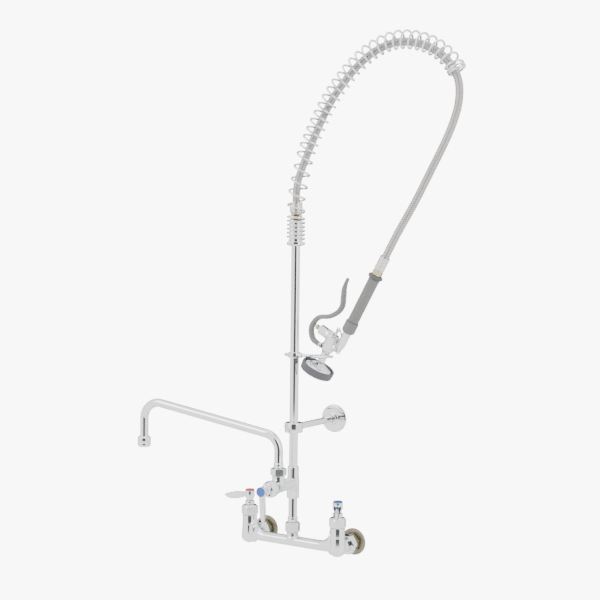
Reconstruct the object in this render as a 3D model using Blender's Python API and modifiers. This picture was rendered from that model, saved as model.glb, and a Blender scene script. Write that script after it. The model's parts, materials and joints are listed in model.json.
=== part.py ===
"""Wall mounted pre rinse faucet with a spring overhead hose and a swing nozzle.

Frame: X runs along the bar (hot side at -X), +Y goes into the wall, +Z is up.
The origin is midway between the two inlets, on the wall plane. Sizes are in metres.
"""

import math

import bmesh
import bpy
from mathutils import Vector

# Clearances
GAP = 0.0003
SLIP = 0.0003

# Base: bar, towers and inlets
INLET_SPACING = 0.2032
WALL_DISTANCE = 0.065
BAR_R = 0.0102
TOWER_R = 0.0145
TOWER_LOW_R = 0.0158
TOWER_FLARE_Z = 0.020
TOWER_TOP = 0.0395
TOWER_DOME = 0.013
TOWER_STRAIGHT_LOW = -0.004
TOWER_BORE_R = 0.011
TOWER_SEAT_Z = 0.008
BAR_FILLET_TOP_R = 0.0250
BAR_FILLET_LOW_R = 0.0050
BAR_FILLET_SIDE_R = 0.0032
WATERWAY_R = 0.006
SPUD_R = 0.0115
SPUD_TOP = 0.0172
SPUD_NECK_Z = 0.0120
SPUD_FOOT_Z = 0.0070
SPUD_FOOT_FLARE = 0.0030
BAR_END_INSET = 0.008
FILLET_SHARE = 0.95
RIM_EASE = 0.0008
STUB_R = 0.013
STUB_LENGTH = 0.036

# Inlet union, nipple and flange, measured back from the riser plane
UNION_START = 0.028
UNION_LENGTH = 0.0163
UNION_FLATS = 0.0355
WASHER_THICKNESS = 0.002
WASHER_BORE_R = 0.008
NIPPLE_COLLAR = 0.0024
NIPPLE_NECK_R = 0.010
NIPPLE_HEX_START = 0.0462
NIPPLE_HEX_FLATS = 0.033
FLANGE_THICKNESS = 0.0067
FLANGE_R = 0.0264
SOCKET_WALL_R = 0.013
SOCKET_R = 0.0105
SOCKET_DEPTH = 0.017
NIPPLE_BORE_R = 0.007

# Valve heads on the towers
BONNET_HEIGHT = 0.020
BONNET_FLATS = 0.0305
BONNET_EASE = 0.0032
BONNET_CROWN_R = 0.0105
BONNET_ROUND_R = 0.0166
BONNET_CROWN_DEPTH = 0.0095
PACKING_HEIGHT = 0.0075
PACKING_R = 0.0097
STEM_R = 0.004
CARTRIDGE_BASE = 0.003
STEM_INSET = 0.004
HUB_R = 0.0097
HUB_HEIGHT = 0.0200
HUB_FOOT_R = 0.0062
HUB_CONE = 0.0090
INDEX_R = 0.0093
INDEX_HEIGHT = 0.0024
LEVER_LENGTH = 0.0590
PADDLE_HEIGHT = 0.0148
PADDLE_THICKNESS = 0.0112
PADDLE_DROP = 0.0072
ARM_DROP = 0.0080
HOT_LEVER_TURN = -88.0
COLD_LEVER_TURN = 27.0

# A lever from hub to tip: shares of its length, thickness, height and drop
LEVER_STATIONS = [
    (0.00, 1.45, 0.68, 0.00),
    (0.20, 1.25, 0.72, 0.14),
    (0.42, 1.00, 0.93, 0.52),
    (0.60, 0.96, 1.00, 0.72),
    (0.80, 0.82, 0.82, 0.96),
    (0.93, 0.54, 0.52, 1.00),
    (1.00, 0.25, 0.25, 0.98),
]

# Centre column
SWIVEL_NUT_HEIGHT = 0.0205
SWIVEL_NUT_FLATS = 0.0270
PIPE_R = 0.00855
PIPE_WALL = 0.0023
PIPE_ENGAGE = 0.0115
NIPPLE_RING_R = 0.0100
NIPPLE_RING_HEIGHT = 0.009
NIPPLE_BARE_LENGTH = 0.0375
RISER_BARE_LENGTH = 0.430

# Add-on faucet
ADF_HEIGHT = 0.0625
ADF_BARREL_Z = 0.030
ADF_HUB_R = 0.0122
ADF_BARREL_R = 0.0115
ADF_CHAMBER_R = 0.0162
ADF_CHAMBER_AT = 0.080
ADF_CHAMBER_LENGTH = 0.016
ADF_BARREL_END = 0.092
ADF_BORE_R = 0.009
ADF_BONNET_LENGTH = 0.0110
ADF_BONNET_FLATS = 0.0190
ADF_HUB_LENGTH = 0.0095
ADF_LEVER_LENGTH = 0.0600
ADF_LEVER_THICKNESS = 0.0112
ADF_LEVER_HEIGHT = 0.0118
ADF_LEVER_DROP = 0.0030
ADF_STEM_INSET = 0.003
NOZZLE_AT = 0.053
NOZZLE_SOCKET_TOP = 0.0220
NOZZLE_SOCKET_DEPTH = 0.012

# Swing nozzle
NOZZLE_NUT_HEIGHT = 0.0143
NOZZLE_NUT_FLATS = 0.0280
NOZZLE_R = 0.0085
NOZZLE_WALL = 0.0013
NOZZLE_COLLAR_R = 0.0096
NOZZLE_COLLAR_HEIGHT = 0.009
NOZZLE_REACH = 0.3040
NOZZLE_TURN = 6.67
NOZZLE_RISE_TOP = 0.2160
NOZZLE_ARM_END_Z = 0.2590
NOZZLE_BEND_R = 0.033
NOZZLE_END_Z = 0.1755
TIP_TOP_Z = 0.1900
TIP_LENGTH = 0.0215
TIP_R = 0.0133
TIP_BORE_R = 0.0070
O_RING_WIRE_R = 0.0009

# Wall bracket
BRACKET_Z = 0.2235
BRACKET_HEIGHT = 0.0202
BRACKET_R = 0.0178
BRACKET_DEPTH = 0.158
BRACKET_ROD_R = 0.0067
BRACKET_DISC_R = 0.0290
BRACKET_DISC_THICKNESS = 0.005
BRACKET_HUB_R = 0.011
BRACKET_HUB_LENGTH = 0.010
BRACKET_SCREW_R = 0.0024
BRACKET_SCREW_HEAD_R = 0.0046
BRACKET_SCREW_HEAD = 0.0026
SET_SCREW_HEAD_R = 0.0040
SET_SCREW_HEAD = 0.0028
BRACKET_WALL = 0.0035
BRACKET_SCREW_AT = 0.0195

# Finger hook for the spray valve
HOOK_Z = 0.3650
CLAMP_HEIGHT = 0.0110
CLAMP_R = 0.0120
CLAMP_BOSS_R = 0.0048
HOOK_WIRE_R = 0.0030
HOOK_END = 0.0800
HOOK_BEND_START = 0.0520
HOOK_HALF_WIDTH = 0.0118
CLAMP_BOSS_START = 0.0095
CLAMP_BOSS_END = 0.0170
CLAMP_EAR_END = 0.0138
CLAMP_SCREW_R = 0.0022
CLAMP_SCREW_HEAD_R = 0.0036
CLAMP_SCREW_HEAD = 0.0090
HOOK_START = 0.0112

# Spring seat, overhead spring and hose
SEAT_RIM_R = 0.0177
SEAT_RIM_HEIGHT = 0.0077
SEAT_BARREL_R = 0.0126
SEAT_BARREL_HEIGHT = 0.0407
SPRING_WIRE_R = 0.0021
SPRING_R = 0.0161
CLOSE_TURNS = 6.0
CLOSE_PITCH = 0.0077
OPEN_TURNS = 5.0
OPEN_PITCH = 0.0245
END_TURNS = 2.0
END_PITCH = 0.0052
SPRING_POINTS_PER_TURN = 7
SPRING_END_DROP = 0.066
SPRING_LINE_STEP = 0.004
SPRING_FIRST_EASE = 0.035
SPRING_NEXT_EASE = 0.075
SPRING_TURNS = 39
SPRING_OFFSET_LOW = -0.0040
SPRING_OFFSET_HIGH = 0.0044
HOSE_R = 0.0080
HOSE_SPACING = 0.024
FITTING_HEX_HEIGHT = 0.0115
FITTING_HEX_FLATS = 0.0210
FERRULE_R = 0.0125
FERRULE_HEIGHT = 0.0240
UPPER_HEX_FLATS = 0.0180
UPPER_HEX_HEIGHT = 0.0085
UPPER_FERRULE_R = 0.0098
UPPER_FERRULE_HEIGHT = 0.0290
HOSE_END_STRAIGHT = 0.014

# The hose's route, as (x, z) on the riser's plane, from its lower fitting to the grip.
HOSE_ROUTE = [
    (0.000, 0.680),
    (0.004, 0.705),
    (0.015, 0.733),
    (0.033, 0.773),
    (0.052, 0.811),
    (0.074, 0.849),
    (0.099, 0.881),
    (0.132, 0.914),
    (0.170, 0.939),
    (0.213, 0.951),
    (0.256, 0.946),
    (0.292, 0.930),
    (0.320, 0.905),
    (0.336, 0.878),
    (0.340, 0.850),
    (0.335, 0.817),
    (0.318, 0.774),
    (0.288, 0.717),
    (0.255, 0.657),
    (0.222, 0.603),
]

# Spray valve, in its own frame: local +Z runs up the grip, local +X away from the lever
SPRAY_X = 0.0805
SPRAY_Z = 0.3972
SPRAY_TILT = 28.8
HEAD_X = 0.0025
HEAD_Z = -0.06375
BUMPER_R = 0.0332
BUMPER_HEIGHT = 0.0155
BUMPER_EASE = 0.003
DOME_HEIGHT = 0.0085
DOME_BORE_R = 0.0042
FACE_HOLES = 6
FACE_HOLE_R = 0.0016
FACE_HOLE_AT = 0.017
FACE_INSET = 0.002
BUMPER_BORE_R = 0.0285
FACE_THICKNESS = 0.004
DOME_R = 0.0280
NECK_R = 0.0070
NECK_TOP = -0.027
BARREL_R = 0.0122
BARREL_LOW = -0.019
BARREL_TOP = 0.0140
BONNET_Z = 0.0080
SIDE_TUBE_R = 0.0100
SIDE_BORE_R = 0.0060
WATER_BORE_R = 0.0040
BONNET_START = 0.0133
BONNET_LENGTH = 0.0165
BONNET_SPRAY_FLATS = 0.0175
BUTTON_R = 0.0050
BUTTON_LENGTH = 0.0080
STEM_TIP_R = 0.0028
STEM_TIP_AT = 0.0428
SPRAY_STEM_R = 0.0022
LEVER_PIN_X = -0.0110
LEVER_PIN_Z = -0.0170
LEVER_PIN_R = 0.0018
LEVER_PIN_LENGTH = 0.0180
EAR_THICKNESS = 0.0035
EAR_R = 0.0055
LEVER_ROOT_WIDTH = 0.0080
LEVER_WIDTH = 0.0140
LEVER_THICKNESS = 0.0092
GRIP_X = 0.0245
SLEEVE_LOW = 0.032
SLEEVE_HEIGHT = 0.024
SLEEVE_R = 0.0132
GRIP_LENGTH = 0.0940
GRIP_R = 0.0110
GRIP_BORE_R = 0.006
RING_HEIGHT = 0.0075
RING_R = 0.0145
ELBOW_R = 0.0080
ELBOW_BORE_R = 0.0050

# Hold ring: an oval wire loop that hangs round the elbow from an eye
HOLD_X = 0.0050
HOLD_TOP_Z = 0.0270
HOLD_LENGTH = 0.0480
HOLD_WIDTH = 0.0255
HOLD_WIRE_R = 0.0015
EYE_R = 0.0046
EYE_THICKNESS = 0.0030
EYE_BORE_R = 0.0024
EYE_POST_HALF = 0.0020
EYE_POST_LOW = 0.004

# Heights that follow from the sizes above
BONNET_Z0 = TOWER_TOP + GAP
PACKING_Z0 = BONNET_Z0 + BONNET_HEIGHT + GAP
HUB_Z0 = PACKING_Z0 + PACKING_HEIGHT + GAP
SWIVEL_Z0 = SPUD_TOP + GAP
NIPPLE_Z0 = SWIVEL_Z0 + SWIVEL_NUT_HEIGHT + GAP
ADF_Z0 = NIPPLE_Z0 + NIPPLE_RING_HEIGHT + NIPPLE_BARE_LENGTH
ADF_Z1 = ADF_Z0 + ADF_HEIGHT
BARREL_Z = ADF_Z0 + ADF_BARREL_Z
SOCKET_TOP_Z = BARREL_Z + NOZZLE_SOCKET_TOP
RISER_TOP = ADF_Z1 + RISER_BARE_LENGTH
SEAT_Z0 = RISER_TOP
SEAT_Z1 = SEAT_Z0 + SEAT_RIM_HEIGHT + SEAT_BARREL_HEIGHT
FITTING_Z0 = SEAT_Z1 + GAP
FITTING_Z1 = FITTING_Z0 + FITTING_HEX_HEIGHT + FERRULE_HEIGHT
RISER_Y = -WALL_DISTANCE

# How finely round shapes are cut into flats
SIDES = 14
BIG_SIDES = 20
SMALL_SIDES = 10

PARTS = None
CUTTERS = None

CHROME = ((0.80, 0.81, 0.82), 1.0, 0.10)
STEEL = ((0.62, 0.61, 0.59), 1.0, 0.28)
RAW_BRASS = ((0.46, 0.42, 0.28), 1.0, 0.38)
BRASS = ((0.66, 0.55, 0.30), 1.0, 0.25)
NICKEL = ((0.74, 0.69, 0.65), 1.0, 0.25)
RUBBER = ((0.03, 0.03, 0.03), 0.0, 0.70)
GREY_GRIP = ((0.26, 0.27, 0.25), 0.0, 0.50)
GREY_LEVER = ((0.28, 0.28, 0.27), 0.0, 0.45)
GREY_BUMPER = ((0.14, 0.14, 0.15), 0.0, 0.60)
RED = ((0.60, 0.07, 0.06), 0.0, 0.35)
BLUE = ((0.03, 0.10, 0.40), 0.0, 0.35)


# ---------------------------------------------------------------- helpers


def clear_scene():
    """Removes every object that the scene holds."""
    for obj in list(bpy.data.objects):
        bpy.data.objects.remove(obj, do_unlink=True)


def new_collection(name):
    """Returns a new collection in the scene."""
    made = bpy.data.collections.new(name)
    bpy.context.scene.collection.children.link(made)
    return made


def frame_at(name, parent, location, rotation=(0.0, 0.0, 0.0)):
    """Returns an empty that carries pieces on one axis; rotation is in degrees."""
    empty = bpy.data.objects.new(name, None)
    empty.empty_display_size = 0.02
    PARTS.objects.link(empty)
    place(empty, parent, location, rotation)
    return empty


def place(obj, parent, location, rotation=(0.0, 0.0, 0.0)):
    """Puts obj at a location and rotation (degrees) under its parent."""
    obj.parent = parent
    obj.location = location
    obj.rotation_euler = [math.radians(angle) for angle in rotation]


def finish_piece(obj, look):
    """Gives a piece its own material."""
    colour, metallic, roughness = look
    material = bpy.data.materials.new(obj.name)
    material.use_nodes = True
    shader = material.node_tree.nodes["Principled BSDF"]
    shader.inputs["Base Color"].default_value = (*colour, 1.0)
    shader.inputs["Metallic"].default_value = metallic
    shader.inputs["Roughness"].default_value = roughness
    obj.data.materials.append(material)
    return obj


def as_cutter(obj):
    """Turns obj into a helper that is neither rendered nor built."""
    for holder in list(obj.users_collection):
        holder.objects.unlink(obj)
    CUTTERS.objects.link(obj)
    obj.hide_render = True
    obj.display_type = "WIRE"
    return obj


def boolean(obj, other, operation):
    """Adds a Boolean of obj with other, which becomes a helper."""
    modifier = obj.modifiers.new(operation.lower() + "_" + other.name, "BOOLEAN")
    modifier.operation = operation
    modifier.solver = "EXACT"
    modifier.object = as_cutter(other)


def join(obj, *others):
    for other in others:
        boolean(obj, other, "UNION")


def cut(obj, *others):
    for other in others:
        boolean(obj, other, "DIFFERENCE")


def new_object(name, data):
    obj = bpy.data.objects.new(name, data)
    PARTS.objects.link(obj)
    return obj


def turned(name, outline, sides=SIDES, ring=False, start=0.0):
    """A turned solid: outline is (radius, height), down the outer side from the top.

    A ring's outline goes on up its bore and closes on its first point. start turns the
    solid's flats by that angle, so that they don't line up with a neighbour's.
    """
    mesh = bpy.data.meshes.new(name)
    edges = [(i, i + 1) for i in range(len(outline) - 1)]
    if ring:
        edges.append((len(outline) - 1, 0))
    along = (math.cos(math.radians(start)), math.sin(math.radians(start)))
    mesh.from_pydata([(r * along[0], r * along[1], h) for r, h in outline], edges, [])
    obj = new_object(name, mesh)
    screw = obj.modifiers.new("turn", "SCREW")
    screw.steps = sides
    screw.render_steps = sides
    screw.use_merge_vertices = True
    screw.merge_threshold = 0.00001
    return obj


def rod(name, radius, low, high, sides=SIDES, start=0.0):
    """A plain round bar along Z."""
    outline = [(0.0, high), (radius, high), (radius, low), (0.0, low)]
    return turned(name, outline, sides, start=start)


def sleeve(name, outer, bore, low, high, sides=SIDES, edge=0.0):
    """A round tube along Z, with its outer rims eased by edge."""
    outline = [(outer - edge, high)]
    if edge:
        outline += [(outer, high - edge), (outer, low + edge)]
    else:
        outline += [(outer, low)]
    if edge:
        outline += [(outer - edge, low)]
    outline += [(bore, low), (bore, high)]
    return turned(name, outline, sides, ring=True)


def prism(name, radius, low, high, corners=6):
    """A prism along Z with its corners at that radius."""
    mesh = bpy.data.meshes.new(name)
    shape = bmesh.new()
    bmesh.ops.create_cone(
        shape,
        cap_ends=True,
        segments=corners,
        radius1=radius,
        radius2=radius,
        depth=high - low,
    )
    bmesh.ops.translate(shape, vec=(0.0, 0.0, (low + high) / 2), verts=shape.verts)
    shape.to_mesh(mesh)
    shape.free()
    return new_object(name, mesh)


def hex_nut(name, flats, bore, low, high, ease=0.0015, lip=None, crown=None, limit=1.0):
    """A nut along Z: a turned ring with eased rims, trimmed to a hexagon.

    lip is (radius, height) where the bore narrows towards the nut's high end. crown is
    (radius, depth) of a domed high end. limit is the most that its corners reach.
    """
    corner = flats / math.sqrt(3)
    rim = min(corner * 1.003, limit)
    if crown:
        middle = (rim + crown[0]) / 2 + ease / 2
        outline = [(crown[0], high), (middle, high - crown[1] / 3), (rim, high - crown[1])]
    else:
        outline = [(rim - ease, high), (rim, high - ease)]
    outline += [(rim, low + ease), (rim - ease, low), (bore, low)]
    if lip:
        outline += [(bore, lip[1]), (lip[0], lip[1]), (lip[0], high)]
    else:
        outline.append((bore, high))
    nut = turned(name, outline, SIDES, ring=True)
    boolean(nut, prism(name + "_hex", corner, low - 0.01, high + 0.01), "INTERSECT")
    return nut


def block(name, low, high):
    """A box between two corners."""
    mesh = bpy.data.meshes.new(name)
    shape = bmesh.new()
    bmesh.ops.create_cube(shape, size=1.0)
    size = [high[i] - low[i] for i in range(3)]
    centre = [(high[i] + low[i]) / 2 for i in range(3)]
    bmesh.ops.scale(shape, vec=size, verts=shape.verts)
    bmesh.ops.translate(shape, vec=centre, verts=shape.verts)
    shape.to_mesh(mesh)
    shape.free()
    return new_object(name, mesh)


def loft(name, sections):
    """A closed solid through sections, each a list of the same number of points."""
    mesh = bpy.data.meshes.new(name)
    shape = bmesh.new()
    rings = [[shape.verts.new(point) for point in section] for section in sections]
    count = len(rings[0])
    for low, high in zip(rings, rings[1:]):
        for i in range(count):
            j = (i + 1) % count
            shape.faces.new((low[i], low[j], high[j], high[i]))
    shape.faces.new(list(reversed(rings[0])))
    shape.faces.new(rings[-1])
    bmesh.ops.recalc_face_normals(shape, faces=shape.faces)
    shape.to_mesh(mesh)
    shape.free()
    mesh.shade_smooth()
    mesh.set_sharp_from_angle(angle=math.radians(40))
    return new_object(name, mesh)


def oval(centre, across, up, half_across, half_up, points=12):
    """Points of an oval about centre, in the plane of two directions."""
    ring = []
    for i in range(points):
        angle = 2 * math.pi * i / points
        ring.append(
            Vector(centre)
            + Vector(across) * half_across * math.cos(angle)
            + Vector(up) * half_up * math.sin(angle)
        )
    return ring


def wire_data(name, points, radius, resolution, caps, closed=False):
    """Curve data that follows points as a round wire."""
    data = bpy.data.curves.new(name, "CURVE")
    data.dimensions = "3D"
    data.bevel_depth = radius
    data.bevel_resolution = resolution
    data.use_fill_caps = caps
    line = data.splines.new("POLY")
    line.points.add(len(points) - 1)
    for target, point in zip(line.points, points):
        target.co = (*point, 1.0)
    line.use_cyclic_u = closed
    return data


def wire(name, points, radius, resolution=2, closed=False):
    """A round wire or rod along points, as a curve."""
    data = wire_data(name, points, radius, resolution, not closed, closed)
    return new_object(name, data)


def solid_wire(name, points, radius, resolution=2):
    """A round wire along points, as a mesh that can be joined or cut."""
    source = wire(name + "_curve", points, radius, resolution)
    bpy.context.view_layer.update()
    graph = bpy.context.evaluated_depsgraph_get()
    mesh = bpy.data.meshes.new_from_object(source.evaluated_get(graph))
    shape = bmesh.new()
    shape.from_mesh(mesh)
    bmesh.ops.remove_doubles(shape, verts=shape.verts, dist=0.00001)
    bmesh.ops.recalc_face_normals(shape, faces=shape.faces)
    shape.to_mesh(mesh)
    shape.free()
    obj = new_object(name, mesh)
    obj.matrix_world = source.matrix_world
    bpy.data.objects.remove(source, do_unlink=True)
    return obj


def arc(centre, start, end, radius, across, up, steps):
    """Points of an arc from start to end, in degrees, in the plane of two directions."""
    points = []
    for i in range(steps + 1):
        angle = math.radians(start + (end - start) * i / steps)
        points.append(
            Vector(centre)
            + Vector(across) * radius * math.cos(angle)
            + Vector(up) * radius * math.sin(angle)
        )
    return points


def smooth_route(points, steps=12):
    """Points of the smooth curve that passes through the given ones."""
    line = [Vector(point) for point in points]
    line = [2 * line[0] - line[1]] + line + [2 * line[-1] - line[-2]]
    fine = []
    for i in range(1, len(line) - 2):
        a, b, c, d = line[i - 1 : i + 3]
        for k in range(steps):
            t = k / steps
            fine.append(
                0.5
                * (
                    2 * b
                    + (c - a) * t
                    + (2 * a - 5 * b + 4 * c - d) * t * t
                    + (3 * b - a - 3 * c + d) * t**3
                )
            )
    fine.append(line[-2])
    return fine


def even_points(line, spacing):
    """The line again, with its points about spacing apart."""
    lengths = [0.0]
    for a, b in zip(line, line[1:]):
        lengths.append(lengths[-1] + (b - a).length)
    count = max(2, round(lengths[-1] / spacing))
    return [point_at(line, lengths, lengths[-1] * i / count)[0] for i in range(count + 1)]


def point_at(line, lengths, distance):
    """The point and the direction of a line at a distance along it."""
    distance = min(max(distance, 0.0), lengths[-1])
    low = 0
    high = len(lengths) - 1
    while high - low > 1:
        middle = (low + high) // 2
        if lengths[middle] <= distance:
            low = middle
        else:
            high = middle
    share = (distance - lengths[low]) / max(lengths[high] - lengths[low], 1e-9)
    return line[low].lerp(line[high], share), (line[high] - line[low]).normalized()


# ---------------------------------------------------------------- base


def bar_section(side, distance):
    """The bar's oval section at a distance from a tower's axis, fuller near the tower."""

    def grow(radius):
        start = TOWER_R + radius
        reach = max(0.0, start - max(distance, TOWER_R))
        return radius - math.sqrt(max(radius * radius - min(reach, radius) ** 2, 0.0))

    top = BAR_R + grow(BAR_FILLET_TOP_R) * FILLET_SHARE
    low = BAR_R + grow(BAR_FILLET_LOW_R) * FILLET_SHARE
    width = BAR_R + grow(BAR_FILLET_SIDE_R) * FILLET_SHARE
    x = side * (INLET_SPACING / 2 - distance)
    centre = (x, 0.0, (top - low) / 2)
    return oval(centre, (0, 1, 0), (0, 0, 1), width, (top + low) / 2, 14)


def make_base():
    """The cast body: bar, two hollow towers, centre spud and inlet stubs."""
    half = INLET_SPACING / 2
    steps = [BAR_END_INSET, TOWER_R + 0.0005]
    steps += [TOWER_R + BAR_FILLET_TOP_R * share for share in (0.15, 0.4, 0.7, 1.0)]
    sections = [bar_section(-1, distance) for distance in steps]
    sections += [bar_section(1, distance) for distance in reversed(steps)]
    body = loft("base_body", sections)
    place(body, None, (0.0, RISER_Y, 0.0))
    dome = [
        (TOWER_LOW_R * math.cos(a), TOWER_STRAIGHT_LOW - TOWER_DOME * math.sin(a))
        for a in (math.radians(angle) for angle in (0, 25, 50, 75))
    ]
    for side in (-1, 1):
        x = side * half
        top = [(0.0, TOWER_TOP), (TOWER_R - RIM_EASE, TOWER_TOP)]
        top += [(TOWER_R, TOWER_TOP - RIM_EASE), (TOWER_R, TOWER_FLARE_Z)]
        bottom = [(0.0, TOWER_STRAIGHT_LOW - TOWER_DOME)]
        tower = turned("tower", top + dome + bottom, BIG_SIDES)
        place(tower, None, (x, RISER_Y, 0.0))
        stub = rod("stub", STUB_R, 0.0, STUB_LENGTH)
        place(stub, None, (x, RISER_Y, 0.0), (-90, 0, 0))
        join(body, tower, stub)
    spud_outline = [
        (0.0, SPUD_TOP),
        (SPUD_R, SPUD_TOP),
        (SPUD_R, SPUD_NECK_Z),
        (SPUD_R + SPUD_FOOT_FLARE / 2, (SPUD_NECK_Z + SPUD_FOOT_Z) / 2),
        (SPUD_R + SPUD_FOOT_FLARE, SPUD_FOOT_Z),
        (SPUD_R - SPUD_FOOT_FLARE, 0.0),
        (0.0, 0.0),
    ]
    spud = turned("spud", spud_outline, SIDES)
    place(spud, None, (0.0, RISER_Y, 0.0))
    join(body, spud)
    for side in (-1, 1):
        x = side * half
        chamber = rod("chamber", TOWER_BORE_R, TOWER_SEAT_Z, TOWER_TOP + 0.01, start=3)
        place(chamber, None, (x, RISER_Y, 0.0))
        sump = rod("sump", WATERWAY_R, -0.004, TOWER_SEAT_Z + 0.002, SMALL_SIDES, 7)
        place(sump, None, (x, RISER_Y, 0.0))
        inlet = rod("inlet", WATERWAY_R + 0.001, -0.002, STUB_LENGTH + 0.01, SMALL_SIDES, 11)
        place(inlet, None, (x, RISER_Y, 0.0), (-90, 0, 0))
        cut(body, chamber, sump, inlet)
    way = rod("bar_way", WATERWAY_R - 0.0005, -half, half, SMALL_SIDES, 5)
    place(way, None, (0.0, RISER_Y, 0.0), (0, 90, 0))
    up = rod("spud_way", WATERWAY_R + 0.0005, 0.0, SPUD_TOP + 0.01, SMALL_SIDES, 9)
    place(up, None, (0.0, RISER_Y, 0.0))
    cut(body, way, up)
    finish_piece(body, CHROME)


def make_inlet(side_name, x):
    """Union nut, washer, nipple and flange of one inlet, built back along +Y."""
    axis = frame_at(side_name + "_inlet_axis", None, (x, RISER_Y, 0.0), (-90, 0, 0))
    stub_end = STUB_LENGTH + GAP
    washer_end = stub_end + WASHER_THICKNESS
    collar_start = washer_end + GAP
    collar_end = collar_start + NIPPLE_COLLAR
    lip_start = collar_end + GAP
    nut_end = UNION_START + UNION_LENGTH
    nut_bore = STUB_R + SLIP
    lip = (NIPPLE_NECK_R + SLIP, lip_start)
    name = side_name + "_union_nut"
    nut = hex_nut(name, UNION_FLATS, nut_bore, UNION_START, nut_end, 0.0015, lip)
    place(nut, axis, (0, 0, 0))
    turn_helpers(name + "_hex", axis, (0, 0, 0), 30)
    finish_piece(nut, CHROME)

    washer = sleeve(side_name + "_inlet_washer", STUB_R - 0.0005, WASHER_BORE_R, stub_end, washer_end)
    place(washer, axis, (0, 0, 0))
    finish_piece(washer, RUBBER)

    flange_start = WALL_DISTANCE - FLANGE_THICKNESS
    hex_end = flange_start - GAP
    rear = WALL_DISTANCE - GAP
    outline = [
        (SOCKET_WALL_R, rear),
        (SOCKET_WALL_R, hex_end - 0.001),
        (NIPPLE_NECK_R, NIPPLE_HEX_START + 0.001),
        (NIPPLE_NECK_R, collar_end),
        (STUB_R - 0.0002, collar_end),
        (STUB_R - 0.0002, collar_start),
        (NIPPLE_BORE_R, collar_start),
        (NIPPLE_BORE_R, rear - SOCKET_DEPTH),
        (SOCKET_R, rear - SOCKET_DEPTH),
        (SOCKET_R, rear),
    ]
    nipple = turned(side_name + "_inlet_nipple", outline, ring=True)
    hexagon = hex_nut(
        side_name + "_nipple_hex",
        NIPPLE_HEX_FLATS,
        SOCKET_R + 0.0005,
        NIPPLE_HEX_START,
        hex_end,
    )
    join(nipple, hexagon)
    place(nipple, axis, (0, 0, 0))
    place(hexagon, axis, (0, 0, 0))
    turn_helpers(side_name + "_nipple_hex_hex", axis, (0, 0, 0), 12)
    finish_piece(nipple, RAW_BRASS)

    disc_outline = [
        (FLANGE_R, WALL_DISTANCE),
        (FLANGE_R, WALL_DISTANCE - 0.003),
        (FLANGE_R - 0.004, flange_start),
        (SOCKET_WALL_R + SLIP, flange_start),
        (SOCKET_WALL_R + SLIP, WALL_DISTANCE),
    ]
    disc = turned(side_name + "_flange", disc_outline, BIG_SIDES, ring=True)
    place(disc, axis, (0, 0, 0))
    finish_piece(disc, RAW_BRASS)


# ---------------------------------------------------------------- valve heads


def paddle_lever(name, length, thickness, height, drop):
    """A lever's arm and upright paddle in the +X direction from the hub's axis."""
    sections = []
    for share, thick_share, height_share, drop_share in LEVER_STATIONS:
        thick = thickness * thick_share / 2
        tall = height * height_share / 2
        centre = (length * share, 0.0, -drop * drop_share)
        sections.append(oval(centre, (0, 1, 0), (0, 0, 1), thick, tall, 12))
    return loft(name, sections)


def make_valve_head(side_name, x, turn, look):
    """Cartridge, bonnet, packing nut, stem, lever and index of one tower."""
    seat = (x, RISER_Y, 0.0)
    cartridge_low = TOWER_SEAT_Z + GAP
    bore = STEM_R + SLIP
    cartridge = sleeve(
        side_name + "_cartridge", TOWER_BORE_R - SLIP, bore, cartridge_low, TOWER_TOP
    )
    place(cartridge, None, seat)
    finish_piece(cartridge, BRASS)
    bonnet_top = BONNET_Z0 + BONNET_HEIGHT
    bonnet = hex_nut(
        side_name + "_bonnet",
        BONNET_FLATS,
        bore,
        BONNET_Z0,
        bonnet_top,
        BONNET_EASE,
        crown=(BONNET_CROWN_R, BONNET_CROWN_DEPTH),
        limit=BONNET_ROUND_R,
    )
    place(bonnet, None, seat)
    turn_helpers(side_name + "_bonnet_hex", None, seat, 8)
    finish_piece(bonnet, CHROME)
    packing = sleeve(
        side_name + "_packing_nut",
        PACKING_R,
        bore,
        PACKING_Z0,
        PACKING_Z0 + PACKING_HEIGHT,
        SIDES,
        0.001,
    )
    place(packing, None, seat)
    finish_piece(packing, CHROME)

    axis = frame_at(side_name + "_handle_axis", None, seat, (0, 0, turn - 90))
    hub_top = HUB_Z0 + HUB_HEIGHT
    stem_top = hub_top - STEM_INSET
    stem = rod(side_name + "_stem", STEM_R, cartridge_low + CARTRIDGE_BASE, stem_top, SMALL_SIDES)
    place(stem, axis, (0, 0, 0))
    finish_piece(stem, BRASS)
    hub_outline = [
        (0.0, hub_top),
        (HUB_R, hub_top),
        (HUB_R, HUB_Z0 + HUB_CONE),
        (HUB_FOOT_R, HUB_Z0),
        (0.0, HUB_Z0),
    ]
    lever = turned(side_name + "_lever", hub_outline)
    place(lever, axis, (0, 0, 0))
    arm = paddle_lever(
        side_name + "_arm", LEVER_LENGTH, PADDLE_THICKNESS, PADDLE_HEIGHT, PADDLE_DROP
    )
    place(arm, axis, (0, 0, hub_top - ARM_DROP))
    socket = rod(side_name + "_socket", bore, HUB_Z0 - 0.01, stem_top + GAP, SMALL_SIDES)
    place(socket, axis, (0, 0, 0))
    join(lever, arm)
    cut(lever, socket)
    finish_piece(lever, CHROME)
    index = sleeve_cap(side_name + "_index", INDEX_R, hub_top + GAP, INDEX_HEIGHT)
    place(index, axis, (0, 0, 0))
    finish_piece(index, look)


def sleeve_cap(name, radius, low, height):
    """A low disc with an eased upper rim."""
    ease = height / 3
    outline = [
        (0.0, low + height),
        (radius - ease, low + height),
        (radius, low + height - ease),
        (radius, low),
        (0.0, low),
    ]
    return turned(name, outline, SIDES)


def turn_helpers(prefix, parent, location, angle, tilt=(0, 0)):
    """Places the helpers whose names start with prefix, turned about their own Z."""
    for helper in CUTTERS.objects:
        if helper.name.startswith(prefix):
            place(helper, parent, location, (tilt[0], tilt[1], angle))


# ---------------------------------------------------------------- centre column


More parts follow.
